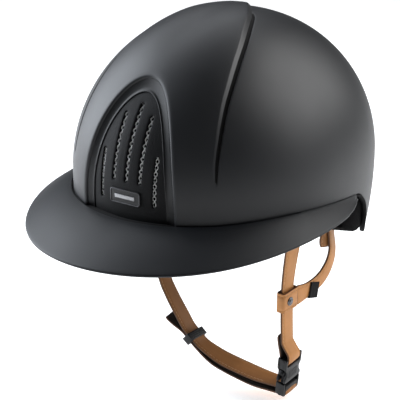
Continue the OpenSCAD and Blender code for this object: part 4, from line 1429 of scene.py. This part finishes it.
def make_pads():
    brow = band_surface(0, 58, level(-5.0), level(24.0))
    add_pad("brow_pad_cover", "brow_pad",
            *pillow(brow, (92, 14.5), 8, PAD_NEAR, PAD_FAR, 7, (74, 16)))
    temple = band_surface(80, 17, level(15.0), level(42.0))
    for side, name in ((1, "left"), (-1, "right")):
        verts, faces, hem = pillow(temple, (24, 13.5), 8, PAD_NEAR, PAD_FAR, 7, (24, 16))
        mirror = np.array([side, 1, 1])
        add_pad(f"{name}_temple_cover", f"{name}_temple_pad", verts * mirror, faces, hem * mirror)
    nape = band_surface(180, 82, nape_low, level(-2.0))
    add_pad("nape_pad_cover", "nape_pad",
            *pillow(nape, (118, 24), 12, nape_near, PAD_FAR, 8, (110, 26)))

    def crown(s, t, depth):
        span = np.hypot(s, t)
        azimuth = np.degrees(np.arctan2(s, -t))
        return at_latitude(azimuth, 89.8 - 37.4 * span, depth)
    add_pad("crown_pad_cover", "crown_pad",
            *pillow(crown, (58, 58), 58, PAD_NEAR, PAD_FAR, 8, (46, 46)))


make_pads()


def make_hooks():
    """Hook-and-loop squares between the foam and the pads."""
    def square(surface, half_height):
        return pillow(surface, (7, half_height), 2, LINER_FAR + 0.4, PAD_NEAR - 0.4, 0.6,
                      (8, 8))[:2]

    # azimuth, low and high edge
    spots = [(-45, 4, 16), (0, 4, 16), (45, 4, 16), (-90, 22, 36), (90, 22, 36),
             (150, -28, -14), (210, -28, -14)]
    parts = [square(band_surface(a, 5, level(float(low)), level(float(high))), (high - low) / 2)
             for a, low, high in spots]
    for a in (0, 120, 240):
        parts.append(square(lambda s, t, depth: at_latitude(a + 8 * s, 64.5 + 2.5 * t, depth), 5))
    add_parts("hook_squares", parts, HOOK, "helmet", "hook_patches", "hook_tape", 50)


make_hooks()


# ---------------------------------------------------------------- camera, lights and floor
# metres; the camera stands in front, to the wearer's left, and looks down at the brim
CAMERA_AT = Vector((0.66865, -0.93403, 0.36407))
CAMERA_RIGHT = Vector((0.80319, 0.59572, 0))
CAMERA_UP = Vector((-0.18981, 0.25592, 0.94788))
CAMERA_BACK = Vector((0.56467, -0.76133, 0.31863))
LENS, SENSOR = 134.65, 36                     # mm
FLOOR_Z, FLOOR_R = -0.1815, 9                 # just under the hanging strap
LIT = Vector((0, 0, 0.02))                    # point that the lights face

# big soft boxes to both sides of the helmet and a little behind it; the front stays dark.
# Directions run along the camera's right, up and back.
SOFT_BOXES = [
    # name, direction, distance, size, power, colour
    ("left_box", (-0.82, 0.46, -0.20), 1.5, (1.3, 1.5), 41, (0.88, 0.93, 1.0)),
    ("right_box", (0.78, 0.60, 0.10), 1.5, (1.5, 1.4), 27, (1.0, 1.0, 1.0)),
    ("top_box", (-0.10, 1.0, -0.30), 1.8, (1.3, 1.2), 10, (0.92, 0.95, 1.0)),
    ("front_box", (-0.1, 0.35, 1.0), 2.6, (1.6, 1.6), 1, (1.0, 1.0, 1.0)),
]


def make_camera(scene):
    data = bpy.data.cameras.new("camera")
    data.lens, data.sensor_width, data.clip_end = LENS, SENSOR, 50
    camera = bpy.data.objects.new("camera", data)
    bpy.context.collection.objects.link(camera)
    turn = Matrix((CAMERA_RIGHT, CAMERA_UP, CAMERA_BACK)).transposed().to_4x4()
    camera.matrix_world = Matrix.Translation(CAMERA_AT) @ turn
    scene.camera = camera


def make_light(name, direction, distance, size, power, color):
    """Soft box that faces the helmet and isn't seen itself."""
    data = bpy.data.lights.new(name, "AREA")
    data.shape = "RECTANGLE"
    data.size, data.size_y = size
    data.energy, data.color = power, color
    light = bpy.data.objects.new(name, data)
    bpy.context.collection.objects.link(light)
    x, y, z = direction
    way = (CAMERA_RIGHT * x + CAMERA_UP * y + CAMERA_BACK * z).normalized()
    light.location = LIT + way * distance
    light.rotation_euler = (LIT - light.location).to_track_quat("-Z", "Y").to_euler()
    light.visible_camera = False


def make_sky(scene):
    """White behind the helmet for the camera, nearly dark for everything else."""
    world = bpy.data.worlds.new("studio")
    world.use_nodes = True
    nodes, links = world.node_tree.nodes, world.node_tree.links
    sky = nodes["Background"]
    sky.inputs["Color"].default_value = (1, 1, 1, 1)
    seen = nodes.new("ShaderNodeLightPath").outputs["Is Camera Ray"]
    level = nodes.new("ShaderNodeMapRange")
    level.inputs["To Min"].default_value = 0.03
    level.inputs["To Max"].default_value = 1.0
    links.new(seen, level.inputs["Value"])
    links.new(level.outputs["Result"], sky.inputs["Strength"])
    scene.world = world


def make_floor():
    mesh = bmesh.new()
    bmesh.ops.create_circle(mesh, cap_ends=True, radius=FLOOR_R, segments=96)
    data = bpy.data.meshes.new("floor")
    mesh.to_mesh(data)
    mesh.free()
    paper = Shader("floor_paper", (0.9, 0.9, 0.9), 0.95, Emission_Color=(1, 1, 1),
                   Emission_Strength=0.48)
    paper.bump(paper.noise(300, 3), 0.0002, 0.1)
    data.materials.append(paper.material)
    floor = bpy.data.objects.new("floor", data)
    floor.location = (0, 0, FLOOR_Z)
    bpy.context.collection.objects.link(floor)


def make_stage():
    scene = bpy.context.scene
    make_camera(scene)
    scene.view_settings.view_transform = "Standard"
    scene.view_settings.look = "None"
    for row in SOFT_BOXES:
        make_light(*row)
    make_sky(scene)
    make_floor()


make_stage()
